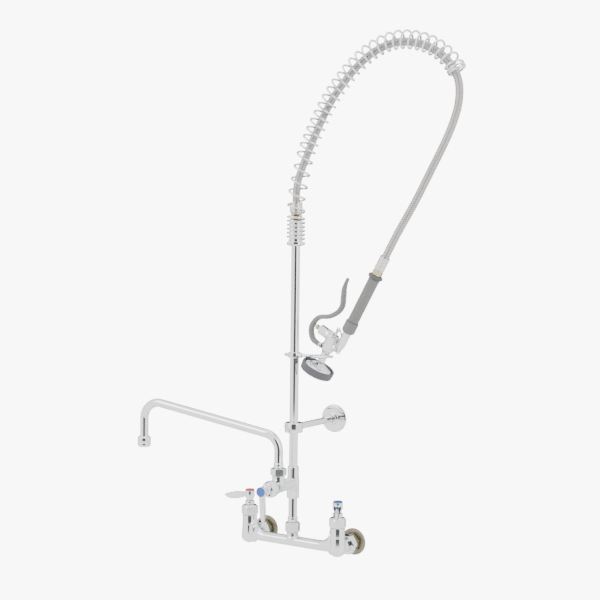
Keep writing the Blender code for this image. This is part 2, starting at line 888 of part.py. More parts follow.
def make_column():
    """Swivel nut, lower nipple and riser pipe on the riser's axis."""
    place_at = (0.0, RISER_Y, 0.0)
    nut = hex_nut(
        "centre_swivel_nut",
        SWIVEL_NUT_FLATS,
        WATERWAY_R + 0.0005,
        SWIVEL_Z0,
        SWIVEL_Z0 + SWIVEL_NUT_HEIGHT,
        0.0050,
    )
    place(nut, None, place_at)
    turn_helpers("centre_swivel_nut_hex", None, place_at, 20)
    finish_piece(nut, NICKEL)
    bore = PIPE_R - PIPE_WALL
    ring_top = NIPPLE_Z0 + NIPPLE_RING_HEIGHT
    nipple_top = ADF_Z0 + PIPE_ENGAGE
    outline = [
        (PIPE_R, nipple_top),
        (PIPE_R, ring_top),
        (NIPPLE_RING_R, ring_top),
        (NIPPLE_RING_R, NIPPLE_Z0),
        (bore, NIPPLE_Z0),
        (bore, nipple_top),
    ]
    nipple = turned("lower_nipple", outline, ring=True)
    place(nipple, None, place_at)
    finish_piece(nipple, CHROME)
    low = ADF_Z1 - PIPE_ENGAGE
    riser = sleeve("riser_pipe", PIPE_R, bore, low, SEAT_Z0 + PIPE_ENGAGE)
    place(riser, None, place_at)
    finish_piece(riser, CHROME)


def make_adf():
    """The add-on faucet's body, bonnet and the nut that holds the swing nozzle."""
    column = (0.0, RISER_Y, 0.0)
    ease = 0.0012
    outline = [
        (0.0, ADF_Z1),
        (ADF_HUB_R - 0.001 - ease, ADF_Z1),
        (ADF_HUB_R - 0.001, ADF_Z1 - ease),
        (ADF_HUB_R - 0.001, BARREL_Z + 0.012),
        (ADF_HUB_R, BARREL_Z),
        (ADF_HUB_R, ADF_Z0 + 0.002),
        (ADF_HUB_R - 0.002, ADF_Z0),
        (0.0, ADF_Z0),
    ]
    body = turned("adf_body", outline, 16)
    place(body, None, column)
    chamber_start = ADF_CHAMBER_AT - ADF_CHAMBER_LENGTH / 2
    chamber_end = ADF_CHAMBER_AT + ADF_CHAMBER_LENGTH / 2
    barrel_outline = [
        (0.0, ADF_BARREL_END),
        (ADF_CHAMBER_R - 0.0032, ADF_BARREL_END),
        (ADF_CHAMBER_R - 0.0022, chamber_end),
        (ADF_CHAMBER_R, chamber_end - 0.004),
        (ADF_CHAMBER_R, chamber_start + 0.004),
        (ADF_BARREL_R + 0.0022, chamber_start - 0.004),
        (ADF_BARREL_R, chamber_start - 0.016),
        (ADF_BARREL_R, 0.0),
        (0.0, 0.0),
    ]
    barrel = turned("adf_barrel", barrel_outline, 16, start=4)
    place(barrel, None, (0.0, RISER_Y, BARREL_Z), (90, 0, 0))
    nozzle_seat = (0.0, RISER_Y - NOZZLE_AT, 0.0)
    hub_r = ADF_HUB_R
    hub = rod("adf_nozzle_hub", hub_r, BARREL_Z, SOCKET_TOP_Z, 16, 6)
    place(hub, None, nozzle_seat)
    join(body, barrel, hub)
    pipe_bore = PIPE_R + SLIP
    foot = rod("adf_foot_bore", pipe_bore, ADF_Z0 - 0.01, ADF_Z0 + PIPE_ENGAGE + GAP)
    place(foot, None, column)
    head = rod("adf_head_bore", pipe_bore, ADF_Z1 - PIPE_ENGAGE - GAP, ADF_Z1 + 0.01)
    place(head, None, column)
    through = rod("adf_through", PIPE_R - PIPE_WALL, ADF_Z0, ADF_Z1, SMALL_SIDES, 5)
    place(through, None, column)
    valve = rod("adf_valve_bore", ADF_BORE_R, NOZZLE_AT + 0.006, ADF_BARREL_END + 0.01)
    place(valve, None, (0.0, RISER_Y, BARREL_Z), (90, 0, 0))
    feed = rod("adf_feed", WATERWAY_R - 0.001, 0.0, NOZZLE_AT + 0.008, SMALL_SIDES, 8)
    place(feed, None, (0.0, RISER_Y, BARREL_Z), (90, 0, 0))
    socket_low = SOCKET_TOP_Z - NOZZLE_SOCKET_DEPTH
    socket = rod("adf_socket", NOZZLE_R + SLIP, socket_low, SOCKET_TOP_Z + 0.01)
    place(socket, None, nozzle_seat)
    groove_r = NOZZLE_R + 2 * O_RING_WIRE_R + 3 * SLIP
    groove = rod("adf_groove", groove_r, SOCKET_TOP_Z - 0.004, SOCKET_TOP_Z + 0.01)
    place(groove, None, nozzle_seat)
    drop = rod("adf_drop", WATERWAY_R - 0.001, BARREL_Z, socket_low + 0.002, SMALL_SIDES, 3)
    place(drop, None, nozzle_seat)
    cut(body, foot, head, through, valve, feed, socket, groove, drop)
    finish_piece(body, CHROME)

    front = (0.0, RISER_Y, BARREL_Z)
    bonnet_low = ADF_BARREL_END + GAP
    bonnet_high = bonnet_low + ADF_BONNET_LENGTH
    bonnet = hex_nut(
        "adf_bonnet", ADF_BONNET_FLATS, STEM_R + SLIP, bonnet_low, bonnet_high, 0.0012
    )
    place(bonnet, None, front, (90, 0, 0))
    turn_helpers("adf_bonnet_hex", None, front, 0, (90, 0))
    finish_piece(bonnet, CHROME)

    nut_low = SOCKET_TOP_Z + GAP
    nut = hex_nut(
        "nozzle_nut",
        NOZZLE_NUT_FLATS,
        NOZZLE_R + SLIP,
        nut_low,
        nut_low + NOZZLE_NUT_HEIGHT,
        0.0035,
    )
    place(nut, None, nozzle_seat)
    turn_helpers("nozzle_nut_hex", None, nozzle_seat, 10)
    finish_piece(nut, CHROME)


def make_adf_handle():
    """The add-on faucet's stem, hanging lever and index, on the barrel's axis."""
    axis = frame_at("adf_handle_axis", None, (0.0, RISER_Y, BARREL_Z), (90, 0, 0))
    hub_low = ADF_BARREL_END + GAP + ADF_BONNET_LENGTH + GAP
    hub_high = hub_low + ADF_HUB_LENGTH
    stem_high = hub_high - ADF_STEM_INSET
    stem = rod("adf_stem", STEM_R, NOZZLE_AT + 0.010, stem_high, SMALL_SIDES)
    place(stem, axis, (0, 0, 0))
    finish_piece(stem, BRASS)
    lever = rod("adf_lever", HUB_R - 0.0003, hub_low, hub_high)
    place(lever, axis, (0, 0, 0))
    arm = paddle_lever(
        "adf_arm", ADF_LEVER_LENGTH, ADF_LEVER_THICKNESS, ADF_LEVER_HEIGHT, ADF_LEVER_DROP
    )
    place(arm, axis, (0, 0, hub_low + ADF_HUB_LENGTH / 2), (0, 0, -90))
    socket = rod("adf_lever_socket", STEM_R + SLIP, hub_low - 0.01, stem_high + GAP, SMALL_SIDES)
    place(socket, axis, (0, 0, 0))
    join(lever, arm)
    cut(lever, socket)
    finish_piece(lever, CHROME)
    index = sleeve_cap("adf_index", INDEX_R, hub_high + GAP, INDEX_HEIGHT)
    place(index, axis, (0, 0, 0))
    finish_piece(index, BLUE)


# ---------------------------------------------------------------- swing nozzle


def nozzle_route():
    """The nozzle tube's centre, in a frame on its pivot with +X towards the tip."""
    low = SOCKET_TOP_Z - NOZZLE_SOCKET_DEPTH + GAP
    run = NOZZLE_REACH - 2 * NOZZLE_BEND_R
    rise = NOZZLE_ARM_END_Z - NOZZLE_RISE_TOP
    slope = math.degrees(math.atan2(rise, run))
    bend = NOZZLE_BEND_R
    first = arc((bend, 0, NOZZLE_RISE_TOP - bend * math.cos(math.radians(slope))),
                180, 90 + slope, bend, (1, 0, 0), (0, 0, 1), 6)
    last = arc((NOZZLE_REACH - bend, 0, NOZZLE_ARM_END_Z - bend * math.cos(math.radians(slope))),
               90 + slope, 0, bend, (1, 0, 0), (0, 0, 1), 8)
    collar_low = SOCKET_TOP_Z + GAP + NOZZLE_NUT_HEIGHT + GAP
    straight = [Vector((0, 0, low)), Vector((0, 0, collar_low - 0.0002))]
    end = Vector((NOZZLE_REACH, 0, NOZZLE_END_Z))
    return straight, collar_low, first + last + [end]


def make_nozzle():
    """The swing nozzle's tube, o-ring and outlet tip, on the nozzle's pivot."""
    turn = 180 + NOZZLE_TURN
    pivot = (0.0, RISER_Y - NOZZLE_AT, 0.0)
    axis = frame_at("nozzle_axis", None, pivot, (0, 0, turn))
    straight, collar_low, rest = nozzle_route()
    collar_high = collar_low + NOZZLE_COLLAR_HEIGHT
    swell = NOZZLE_COLLAR_R / NOZZLE_R
    route = straight + [
        Vector((0, 0, collar_low)),
        Vector((0, 0, collar_high)),
        Vector((0, 0, collar_high + 0.0015)),
    ]
    swells = [1.0, 1.0, swell, swell, 1.0] + [1.0] * len(rest)
    route += rest
    data = wire_data("swing_nozzle", route, NOZZLE_R, 2, False)
    for point, amount in zip(data.splines[0].points, swells):
        point.radius = amount
    tube = new_object("swing_nozzle", data)
    wall = tube.modifiers.new("wall", "SOLIDIFY")
    wall.thickness = NOZZLE_WALL
    wall.offset = -1.0
    place(tube, axis, (0, 0, 0))
    finish_piece(tube, CHROME)
    ring_r = NOZZLE_R + O_RING_WIRE_R + 1.5 * SLIP
    seat_z = SOCKET_TOP_Z - 0.004 + O_RING_WIRE_R + GAP
    loop = arc((0, 0, seat_z), 0, 337.5, ring_r, (1, 0, 0), (0, 1, 0), 15)
    o_ring = wire("nozzle_o_ring", loop, O_RING_WIRE_R, 1, closed=True)
    place(o_ring, axis, (0, 0, 0))
    finish_piece(o_ring, RUBBER)
    bottom = TIP_TOP_Z - TIP_LENGTH
    tip_outline = [
        (TIP_R - 0.0030, TIP_TOP_Z),
        (TIP_R, TIP_TOP_Z - 0.003),
        (TIP_R, bottom + 0.006),
        (TIP_R - 0.0020, bottom),
        (TIP_BORE_R, bottom),
        (TIP_BORE_R, NOZZLE_END_Z - GAP),
        (NOZZLE_R + SLIP, NOZZLE_END_Z - GAP),
        (NOZZLE_R + SLIP, TIP_TOP_Z),
    ]
    tip = turned("nozzle_tip", tip_outline, 12, ring=True)
    place(tip, axis, (NOZZLE_REACH, 0, 0))
    finish_piece(tip, CHROME)


# ---------------------------------------------------------------- bracket and hook


def screw_shape(name, head_r, head_length, shank_r, shank_length):
    """A screw along Z: its head's underside is at zero and its shank runs down."""
    outline = [
        (0.0, head_length),
        (head_r * 0.8, head_length),
        (head_r, head_length * 0.6),
        (head_r, 0.0),
        (shank_r, 0.0),
        (shank_r, -shank_length),
        (0.0, -shank_length),
    ]
    return turned(name, outline, SMALL_SIDES)


def make_bracket():
    """Collar on the riser, two set screws, the rod and the disc on the wall."""
    centre = (0.0, RISER_Y, BRACKET_Z)
    half = BRACKET_HEIGHT / 2
    collar = sleeve("bracket_collar", BRACKET_R, PIPE_R + SLIP, -half, half, BIG_SIDES, 0.003)
    place(collar, None, centre)
    hole = BRACKET_SCREW_R + SLIP
    left_bore = rod("bracket_left_bore", hole, PIPE_R, BRACKET_R + 0.01, SMALL_SIDES)
    place(left_bore, None, centre, (0, -90, 0))
    front_bore = rod("bracket_front_bore", hole, PIPE_R, BRACKET_R + 0.01, SMALL_SIDES)
    place(front_bore, None, centre, (90, 0, 0))
    rod_bore_start = PIPE_R + BRACKET_WALL
    rod_bore = rod("bracket_rod_bore", BRACKET_ROD_R + SLIP, rod_bore_start, BRACKET_R + 0.01)
    place(rod_bore, None, centre, (-90, 0, 0))
    cut(collar, left_bore, front_bore, rod_bore)
    finish_piece(collar, CHROME)
    shank = BRACKET_R - PIPE_R - 3 * GAP
    for name, angles, direction in (
        ("bracket_screw_left", (0, -90, 0), (-1, 0)),
        ("bracket_screw_front", (90, 0, 0), (0, -1)),
    ):
        screw = screw_shape(name, SET_SCREW_HEAD_R, SET_SCREW_HEAD, BRACKET_SCREW_R, shank)
        reach = BRACKET_R + GAP
        spot = (direction[0] * reach, RISER_Y + direction[1] * reach, BRACKET_Z)
        place(screw, None, spot, angles)
        finish_piece(screw, CHROME)
    bar = rod("bracket_rod", BRACKET_ROD_R, rod_bore_start + GAP, BRACKET_DEPTH - GAP, 20)
    place(bar, None, centre, (-90, 0, 0))
    finish_piece(bar, CHROME)
    front = BRACKET_DEPTH - BRACKET_DISC_THICKNESS
    bore = BRACKET_ROD_R + SLIP
    outline = [
        (BRACKET_DISC_R, BRACKET_DEPTH),
        (BRACKET_DISC_R, front + 0.0025),
        (BRACKET_DISC_R - 0.003, front),
        (BRACKET_HUB_R + 0.001, front),
        (BRACKET_HUB_R, front - 0.001),
        (BRACKET_HUB_R, front - BRACKET_HUB_LENGTH),
        (bore, front - BRACKET_HUB_LENGTH),
        (bore, BRACKET_DEPTH),
    ]
    disc = turned("bracket_flange", outline, BIG_SIDES, ring=True)
    place(disc, None, centre, (-90, 0, 0))
    for side in (-1, 1):
        hole_cut = rod("flange_hole", hole, front - 0.01, BRACKET_DEPTH + 0.01, SMALL_SIDES)
        spot = (side * BRACKET_SCREW_AT, RISER_Y, BRACKET_Z)
        place(hole_cut, None, spot, (-90, 0, 0))
        cut(disc, hole_cut)
    finish_piece(disc, CHROME)
    for name, side in (("flange_screw_left", -1), ("flange_screw_right", 1)):
        long = BRACKET_DISC_THICKNESS - GAP
        screw = screw_shape(name, BRACKET_SCREW_HEAD_R, BRACKET_SCREW_HEAD, BRACKET_SCREW_R, long)
        spot = (side * BRACKET_SCREW_AT, RISER_Y + front - GAP, BRACKET_Z)
        place(screw, None, spot, (90, 0, 0))
        finish_piece(screw, STEEL)


def make_hook():
    """The clamp on the riser, its screw and the open fork that the spray valve sits in."""
    centre = (0.0, RISER_Y, HOOK_Z)
    half = CLAMP_HEIGHT / 2
    clamp = sleeve("hook_clamp", CLAMP_R, PIPE_R + SLIP, -half, half, 16, 0.0015)
    place(clamp, None, centre)
    ear = rod("clamp_boss", CLAMP_BOSS_R, CLAMP_BOSS_START, CLAMP_EAR_END, SMALL_SIDES)
    place(ear, None, centre, (0, -90, 0))
    holder = rod("clamp_socket", CLAMP_BOSS_R, CLAMP_BOSS_START, CLAMP_BOSS_END, SMALL_SIDES)
    place(holder, None, centre, (0, 90, 0))
    join(clamp, ear, holder)
    clear_pipe = rod("clamp_pipe", PIPE_R + SLIP, -0.02, 0.02)
    place(clear_pipe, None, centre)
    hole = CLAMP_SCREW_R + SLIP
    screw_bore = rod("clamp_screw_bore", hole, PIPE_R, CLAMP_EAR_END + 0.01, SMALL_SIDES)
    place(screw_bore, None, centre, (0, -90, 0))
    rod_bore = rod("clamp_rod_bore", HOOK_WIRE_R + SLIP, HOOK_START - GAP, CLAMP_BOSS_END + 0.01,
                   SMALL_SIDES)
    place(rod_bore, None, centre, (0, 90, 0))
    cut(clamp, clear_pipe, screw_bore, rod_bore)
    finish_piece(clamp, CHROME)
    shank = CLAMP_EAR_END - PIPE_R - 3 * GAP
    screw = screw_shape(
        "hook_clamp_screw", CLAMP_SCREW_HEAD_R, CLAMP_SCREW_HEAD, CLAMP_SCREW_R, shank
    )
    place(screw, None, (-CLAMP_EAR_END - GAP, RISER_Y, HOOK_Z), (0, -90, 0))
    finish_piece(screw, STEEL)

    wide = HOOK_HALF_WIDTH
    bend = arc((HOOK_BEND_START, 0, 0), 90, 270, wide, (1, 0, 0), (0, 1, 0), 10)
    fork = [Vector((HOOK_END, wide, 0))] + bend + [Vector((HOOK_END, -wide, 0))]
    hook = solid_wire("finger_hook", fork, HOOK_WIRE_R)
    shaft_end = HOOK_BEND_START - wide + 0.001
    shaft = [Vector((HOOK_START, 0, 0)), Vector((shaft_end, 0, 0))]
    arm = solid_wire("hook_shaft", shaft, HOOK_WIRE_R * 1.02)
    place(hook, None, centre)
    place(arm, None, centre)
    join(hook, arm)
    finish_piece(hook, CHROME)


# ---------------------------------------------------------------- spring and hose


def make_seat():
    """The adapter on the riser's top, which carries the spring and takes the hose."""
    rim_top = SEAT_Z0 + SEAT_RIM_HEIGHT
    outline = [
        (SEAT_BARREL_R - 0.001, SEAT_Z1),
        (SEAT_BARREL_R, SEAT_Z1 - 0.001),
        (SEAT_BARREL_R, rim_top),
        (SEAT_RIM_R - 0.001, rim_top),
        (SEAT_RIM_R, rim_top - 0.001),
        (SEAT_RIM_R, SEAT_Z0 + 0.002),
        (PIPE_R + 0.003, SEAT_Z0),
        (PIPE_R + SLIP, SEAT_Z0),
        (PIPE_R + SLIP, SEAT_Z0 + PIPE_ENGAGE + GAP),
        (PIPE_R - PIPE_WALL, SEAT_Z0 + PIPE_ENGAGE + GAP),
        (PIPE_R - PIPE_WALL, SEAT_Z1),
    ]
    seat = turned("spring_seat", outline, 20, ring=True)
    place(seat, None, (0.0, RISER_Y, 0.0))
    finish_piece(seat, CHROME)


def grip_top():
    """The point on the grip's axis where the hose starts, and the grip's direction."""
    tilt = math.radians(SPRAY_TILT)
    along = Vector((math.sin(tilt), 0, math.cos(tilt)))
    aside = Vector((math.cos(tilt), 0, -math.sin(tilt)))
    top = SLEEVE_LOW + SLEEVE_HEIGHT + GRIP_LENGTH + RING_HEIGHT + 3 * GAP
    top += UPPER_HEX_HEIGHT + UPPER_FERRULE_HEIGHT + GAP
    place_at = Vector((SPRAY_X, 0, SPRAY_Z)) + aside * GRIP_X + along * top
    return place_at, along


def hose_line():
    """The hose's centre as fine points, between its two ferrules."""
    end, along = grip_top()
    start = Vector((0, 0, FITTING_Z1 + GAP))
    middle = [Vector((x, 0, z)) for x, z in HOSE_ROUTE]
    return smooth_route([start] + middle + [end + along * HOSE_END_STRAIGHT, end])


def spring_centre():
    """The spring's own centre line: the riser's axis, then beside the hose round the arch."""
    seat_top = SEAT_Z0 + SEAT_RIM_HEIGHT
    first = Vector((0, 0, seat_top + SPRING_WIRE_R + 3 * GAP))
    hose = hose_line()
    line = [first]
    height = first.z + SPRING_LINE_STEP
    while height < hose[0].z - SPRING_LINE_STEP:
        line.append(Vector((0, 0, height)))
        height += SPRING_LINE_STEP
    run = 0.0
    for i, point in enumerate(hose):
        before = hose[max(i - 1, 0)]
        after = hose[min(i + 1, len(hose) - 1)]
        run += (point - before).length
        along = (after - before).normalized()
        outward = Vector((-along.z, 0, along.x))
        low = SPRING_OFFSET_LOW * ease_in(run / SPRING_FIRST_EASE)
        change = SPRING_OFFSET_HIGH - SPRING_OFFSET_LOW
        offset = low + change * ease_in((run - SPRING_FIRST_EASE) / SPRING_NEXT_EASE)
        line.append(point + outward * offset)
    return line


def ease_in(share):
    """Goes smoothly from 0 to 1 as share does."""
    share = min(max(share, 0.0), 1.0)
    return share * share * (3 - 2 * share)


def spring_distance(turns, total):
    """How far along its centre line the spring has got after some turns."""
    close = CLOSE_TURNS * CLOSE_PITCH
    opened = OPEN_TURNS * OPEN_PITCH
    if turns <= CLOSE_TURNS:
        return turns * CLOSE_PITCH
    if turns <= CLOSE_TURNS + OPEN_TURNS:
        return close + (turns - CLOSE_TURNS) * OPEN_PITCH
    ending = END_TURNS * END_PITCH
    if turns >= SPRING_TURNS - END_TURNS:
        return total - (SPRING_TURNS - turns) * END_PITCH
    rest = SPRING_TURNS - CLOSE_TURNS - OPEN_TURNS - END_TURNS
    share = (turns - CLOSE_TURNS - OPEN_TURNS) / rest
    return close + opened + (total - close - opened - ending) * share


def make_spring():
    """The overhead spring: a left-handed coil along its curved centre line."""
    line = spring_centre()
    lengths = [0.0]
    for a, b in zip(line, line[1:]):
        lengths.append(lengths[-1] + (b - a).length)
    total = spring_length(line, lengths)
    side = Vector((0, 1, 0))
    coil = []
    # The coil is a polygon, so its corners stand out as far as its flats come in.
    radius = SPRING_R * 2 / (1 + math.cos(math.pi / SPRING_POINTS_PER_TURN))
    count = SPRING_TURNS * SPRING_POINTS_PER_TURN
    for i in range(count + 1):
        turns = i / SPRING_POINTS_PER_TURN
        centre, along = point_at(line, lengths, spring_distance(turns, total))
        across = along.cross(side).normalized()
        angle = 2 * math.pi * turns
        coil.append(centre + (across * math.cos(angle) + side * math.sin(angle)) * radius)
    spring = wire("overhead_spring", coil, SPRING_WIRE_R, 0)
    place(spring, None, (0.0, RISER_Y, 0.0))
    finish_piece(spring, CHROME)


def spring_length(line, lengths):
    """The distance along the line to where the spring lets go of the hose, past the arch."""
    highest = max(range(len(line)), key=lambda i: line[i].z)
    for i in range(highest, len(line)):
        if line[i].z < line[highest].z - SPRING_END_DROP:
            return lengths[i]
    return lengths[-1]


def make_hose():
    """The hose and the fitting at each of its ends."""
    base = (0.0, RISER_Y, 0.0)
    hex_top = FITTING_Z0 + FITTING_HEX_HEIGHT
    lower = hex_nut(
        "lower_hose_fitting", FITTING_HEX_FLATS, HOSE_R - 0.003, FITTING_Z0, hex_top, 0.001
    )
    place(lower, None, base)
    turn_helpers("lower_hose_fitting_hex", None, base, 5)
    cuff = sleeve("lower_ferrule", FERRULE_R, HOSE_R - 0.003, hex_top - 0.001, FITTING_Z1, SIDES, 0.001)
    place(cuff, None, base)
    join(lower, cuff)
    finish_piece(lower, BRASS)
    points = even_points(hose_line(), HOSE_SPACING)
    hose = wire("flex_hose", points, HOSE_R, 2)
    place(hose, None, base)
    finish_piece(hose, STEEL)


# ---------------------------------------------------------------- spray valve


def lever_route():
    """The spray lever's centre in the spray valve's frame, from its pin to its tip."""
    return [
        (-0.0130, -0.0195),
        (-0.0230, -0.0195),
        (-0.0345, -0.0175),
        (-0.0448, -0.0070),
        (-0.0490, 0.0070),
        (-0.0432, 0.0255),
        (-0.0250, 0.0385),
        (-0.0130, 0.0540),
        (-0.0095, 0.0700),
        (-0.0160, 0.0870),
        (-0.0230, 0.1040),
        (-0.0250, 0.1220),
    ]


def elbow_route(top):
    """The elbow's smooth centre line, from the barrel round and up to a height."""
    corners = [
        Vector((HEAD_X, 0, -0.0030)),
        Vector((0.0135, 0, -0.0068)),
        Vector((0.0210, 0, -0.0035)),
        Vector((GRIP_X, 0, 0.0070)),
        Vector((GRIP_X, 0, top)),
    ]
    return smooth_route(corners, 3)


def make_spray_body(axis):
    """The valve's casting: neck, barrel, bonnet socket, elbow, pin ears and ring eye."""
    neck_low = HEAD_Z + BUMPER_HEIGHT / 2 + DOME_HEIGHT
    outline = [
        (0.0, BARREL_TOP),
        (BARREL_R - 0.004, BARREL_TOP),
        (BARREL_R, BARREL_TOP - 0.004),
        (BARREL_R, BARREL_LOW + 0.004),
        (NECK_R + 0.0015, NECK_TOP + 0.003),
        (NECK_R, NECK_TOP),
        (NECK_R, neck_low),
        (0.0, neck_low),
    ]
    body = turned("spray_body", outline, 16)
    place(body, axis, (HEAD_X, 0, 0))
    side_tube = rod("spray_side", SIDE_TUBE_R, 0.0, BONNET_START + HEAD_X)
    place(side_tube, axis, (HEAD_X, 0, BONNET_Z), (0, -90, 0))
    elbow = solid_wire("spray_elbow", elbow_route(SLEEVE_LOW - GAP), ELBOW_R, 2)
    place(elbow, axis, (0, 0, 0))
    join(body, side_tube, elbow)
    inner = (LEVER_ROOT_WIDTH + 2 * SLIP) / 2
    outer = inner + EAR_THICKNESS
    for side in (-1, 1):
        low = min(side * inner, side * outer)
        high = max(side * inner, side * outer)
        ear = rod("spray_ear", EAR_R, low, high, 12)
        place(ear, axis, (LEVER_PIN_X, 0, LEVER_PIN_Z), (-90, 0, 0))
        web = block(
            "spray_web",
            (LEVER_PIN_X, low, LEVER_PIN_Z - 0.0035),
            (HEAD_X - 0.002, high, LEVER_PIN_Z + 0.0050),
        )
        place(web, axis, (0, 0, 0))
        join(body, ear, web)
    return body


def shape_eye(body, axis):
    """Adds the eye that the hold ring hangs from, on a post beside the grip's sleeve."""
    half = EYE_THICKNESS / 2
    disc = rod("eye_disc", EYE_R, -half, half, 12)
    place(disc, axis, (HOLD_X, 0, HOLD_TOP_Z), (90, 0, 0))
    post = block(
        "eye_post",
        (HOLD_X - EYE_POST_HALF, -half, EYE_POST_LOW),
        (HOLD_X + EYE_POST_HALF, half, HOLD_TOP_Z - EYE_BORE_R),
    )
    place(post, axis, (0, 0, 0))
    join(body, disc, post)
    hole = rod("eye_hole", EYE_BORE_R, -0.01, 0.01, SMALL_SIDES)
    place(hole, axis, (HOLD_X, 0, HOLD_TOP_Z), (90, 0, 0))
    return hole


def finish_spray_body(body, axis, eye_hole):
    """Cuts the waterways and bores of the spray valve's casting."""
    neck_low = HEAD_Z + BUMPER_HEIGHT / 2
    water = rod("spray_water", WATER_BORE_R, neck_low, BONNET_Z, SMALL_SIDES)
    place(water, axis, (HEAD_X, 0, 0))
    side_bore = rod("spray_side_bore", SIDE_BORE_R, 0.0, BONNET_START + 0.02, SMALL_SIDES)
    place(side_bore, axis, (HEAD_X, 0, BONNET_Z), (0, -90, 0))
    bore_line = elbow_route(SLEEVE_LOW + 0.01)
    elbow_bore = solid_wire("spray_elbow_bore", bore_line, ELBOW_BORE_R, 2)
    place(elbow_bore, axis, (0, 0, 0))
    pin_bore = rod("spray_pin_bore", LEVER_PIN_R + SLIP / 2, -0.015, 0.015, SMALL_SIDES)
    place(pin_bore, axis, (LEVER_PIN_X, 0, LEVER_PIN_Z), (90, 0, 0))
    swing = rod("lever_swing", EAR_R + 0.0008, -LEVER_ROOT_WIDTH / 2 - SLIP,
                LEVER_ROOT_WIDTH / 2 + SLIP, 12)
    place(swing, axis, (LEVER_PIN_X, 0, LEVER_PIN_Z), (90, 0, 0))
    cut(body, water, side_bore, elbow_bore, pin_bore, swing, eye_hole)
    finish_piece(body, CHROME)


def make_head(axis):
    """Dome, rubber bumper and spray face of the valve's head."""
    half = BUMPER_HEIGHT / 2
    low = HEAD_Z - half
    high = HEAD_Z + half
    neck_low = high + DOME_HEIGHT
    outline = [
        (NECK_R + 0.0005, neck_low - GAP),
        (NECK_R + 0.0035, neck_low - 0.002),
        (DOME_R * 0.62, high + 0.0035),
        (DOME_R * 0.88, high + 0.0005),
        (DOME_R, high - 0.0030),
        (DOME_R, high - 0.0060),
        (DOME_R - 0.003, high - 0.0060),
        (DOME_R * 0.60, high - 0.0005),
        (DOME_BORE_R, neck_low - 0.0040),
        (DOME_BORE_R, neck_low - GAP),
    ]
    dome = turned("head_dome", outline, 18, ring=True)
    place(dome, axis, (HEAD_X, 0, 0))
    finish_piece(dome, CHROME)
    bumper_outline = [
        (BUMPER_R - BUMPER_EASE, high),
        (BUMPER_R, high - BUMPER_EASE),
        (BUMPER_R - 0.001, low + BUMPER_EASE),
        (BUMPER_R - BUMPER_EASE - 0.001, low),
        (BUMPER_BORE_R, low),
        (BUMPER_BORE_R, high),
    ]
    bumper = turned("bumper", bumper_outline, BIG_SIDES, ring=True)
    place(bumper, axis, (HEAD_X, 0, 0))
    finish_piece(bumper, GREY_BUMPER)
    face_low = low + FACE_INSET
    face = rod("spray_face", BUMPER_BORE_R - SLIP, face_low, face_low + FACE_THICKNESS, BIG_SIDES)
    place(face, axis, (HEAD_X, 0, 0))
    for i in range(FACE_HOLES):
        angle = 2 * math.pi * i / FACE_HOLES + 0.1
        hole = rod("face_hole", FACE_HOLE_R, face_low - 0.01, face_low + 0.02, 6, 11 * i)
        across = FACE_HOLE_AT * math.cos(angle)
        spot = (HEAD_X + across, FACE_HOLE_AT * math.sin(angle), 0)
        place(hole, axis, spot)
        cut(face, hole)
    finish_piece(face, STEEL)


def make_bonnet(axis):
    """The hexagonal bonnet that guides the spray stem."""
    start = BONNET_START + GAP
    high = start + BONNET_LENGTH
    bonnet = hex_nut(
        "spray_bonnet", BONNET_SPRAY_FLATS, SPRAY_STEM_R + SLIP, start, high, 0.0012
    )
    seat = (0.0, 0, BONNET_Z)
    place(bonnet, axis, seat, (0, -90, 0))
    turn_helpers("spray_bonnet_hex", axis, seat, 0, (0, -90))
    finish_piece(bonnet, CHROME)
    return high


def make_stem(axis, bonnet_high):
    """The push stem: a rod through the bonnet with a brass button on its outer end."""
    button_low = bonnet_high + 0.0050
    outline = [
        (0.0, STEM_TIP_AT),
        (STEM_TIP_R, STEM_TIP_AT),
        (STEM_TIP_R, button_low + 0.0042),
        (BUTTON_R, button_low + 0.0042),
        (BUTTON_R, button_low),
        (SPRAY_STEM_R, button_low),
        (SPRAY_STEM_R, 0.0040),
        (0.0, 0.0040),
    ]
    stem = turned("spray_stem", outline, SMALL_SIDES)
    place(stem, axis, (0.0, 0, BONNET_Z), (0, -90, 0))
    finish_piece(stem, BRASS)


def make_lever(axis):
    """The spray lever and the pin that it turns on."""
    route = smooth_route([Vector((x, 0, z)) for x, z in lever_route()], 3)
    sections = []
    for i, point in enumerate(route):
        before = route[max(i - 1, 0)]
        after = route[min(i + 1, len(route) - 1)]
        along = (after - before).normalized()
        across = Vector((along.z, 0, -along.x))
        share = i / (len(route) - 1)
        widen = ease_in(share * 6)
        wide = LEVER_ROOT_WIDTH + (LEVER_WIDTH - LEVER_ROOT_WIDTH) * widen
        thin = 1.0 - 0.35 * ease_in((share - 0.85) / 0.15)
        wide *= thin * (1.0 - 0.15 * ease_in((share - 0.8) / 0.2))
        half_thick = LEVER_THICKNESS / 2 * thin
        sections.append(oval(point, (0, 1, 0), across, wide / 2, half_thick, 8))
    lever = loft("spray_lever", sections)
    pivot = (LEVER_PIN_X, 0, LEVER_PIN_Z)
    arm_axis = frame_at("spray_lever_axis", axis, pivot)
    shift = (-LEVER_PIN_X, 0, -LEVER_PIN_Z)
    place(lever, arm_axis, shift)
    half = LEVER_ROOT_WIDTH / 2
    boss = rod("lever_boss", EAR_R - 0.0005, -half, half, 12)
    place(boss, arm_axis, (0, 0, 0), (90, 0, 0))
    bore = rod("lever_bore", LEVER_PIN_R + SLIP / 2, -0.01, 0.01, SMALL_SIDES)
    place(bore, arm_axis, (0, 0, 0), (90, 0, 0))
    join(lever, boss)
    cut(lever, bore)
    finish_piece(lever, GREY_LEVER)
    pin_half = LEVER_PIN_LENGTH / 2
    pin = rod("lever_pin", LEVER_PIN_R, -pin_half, pin_half, SMALL_SIDES)
    place(pin, axis, pivot, (90, 0, 0))
    finish_piece(pin, STEEL)


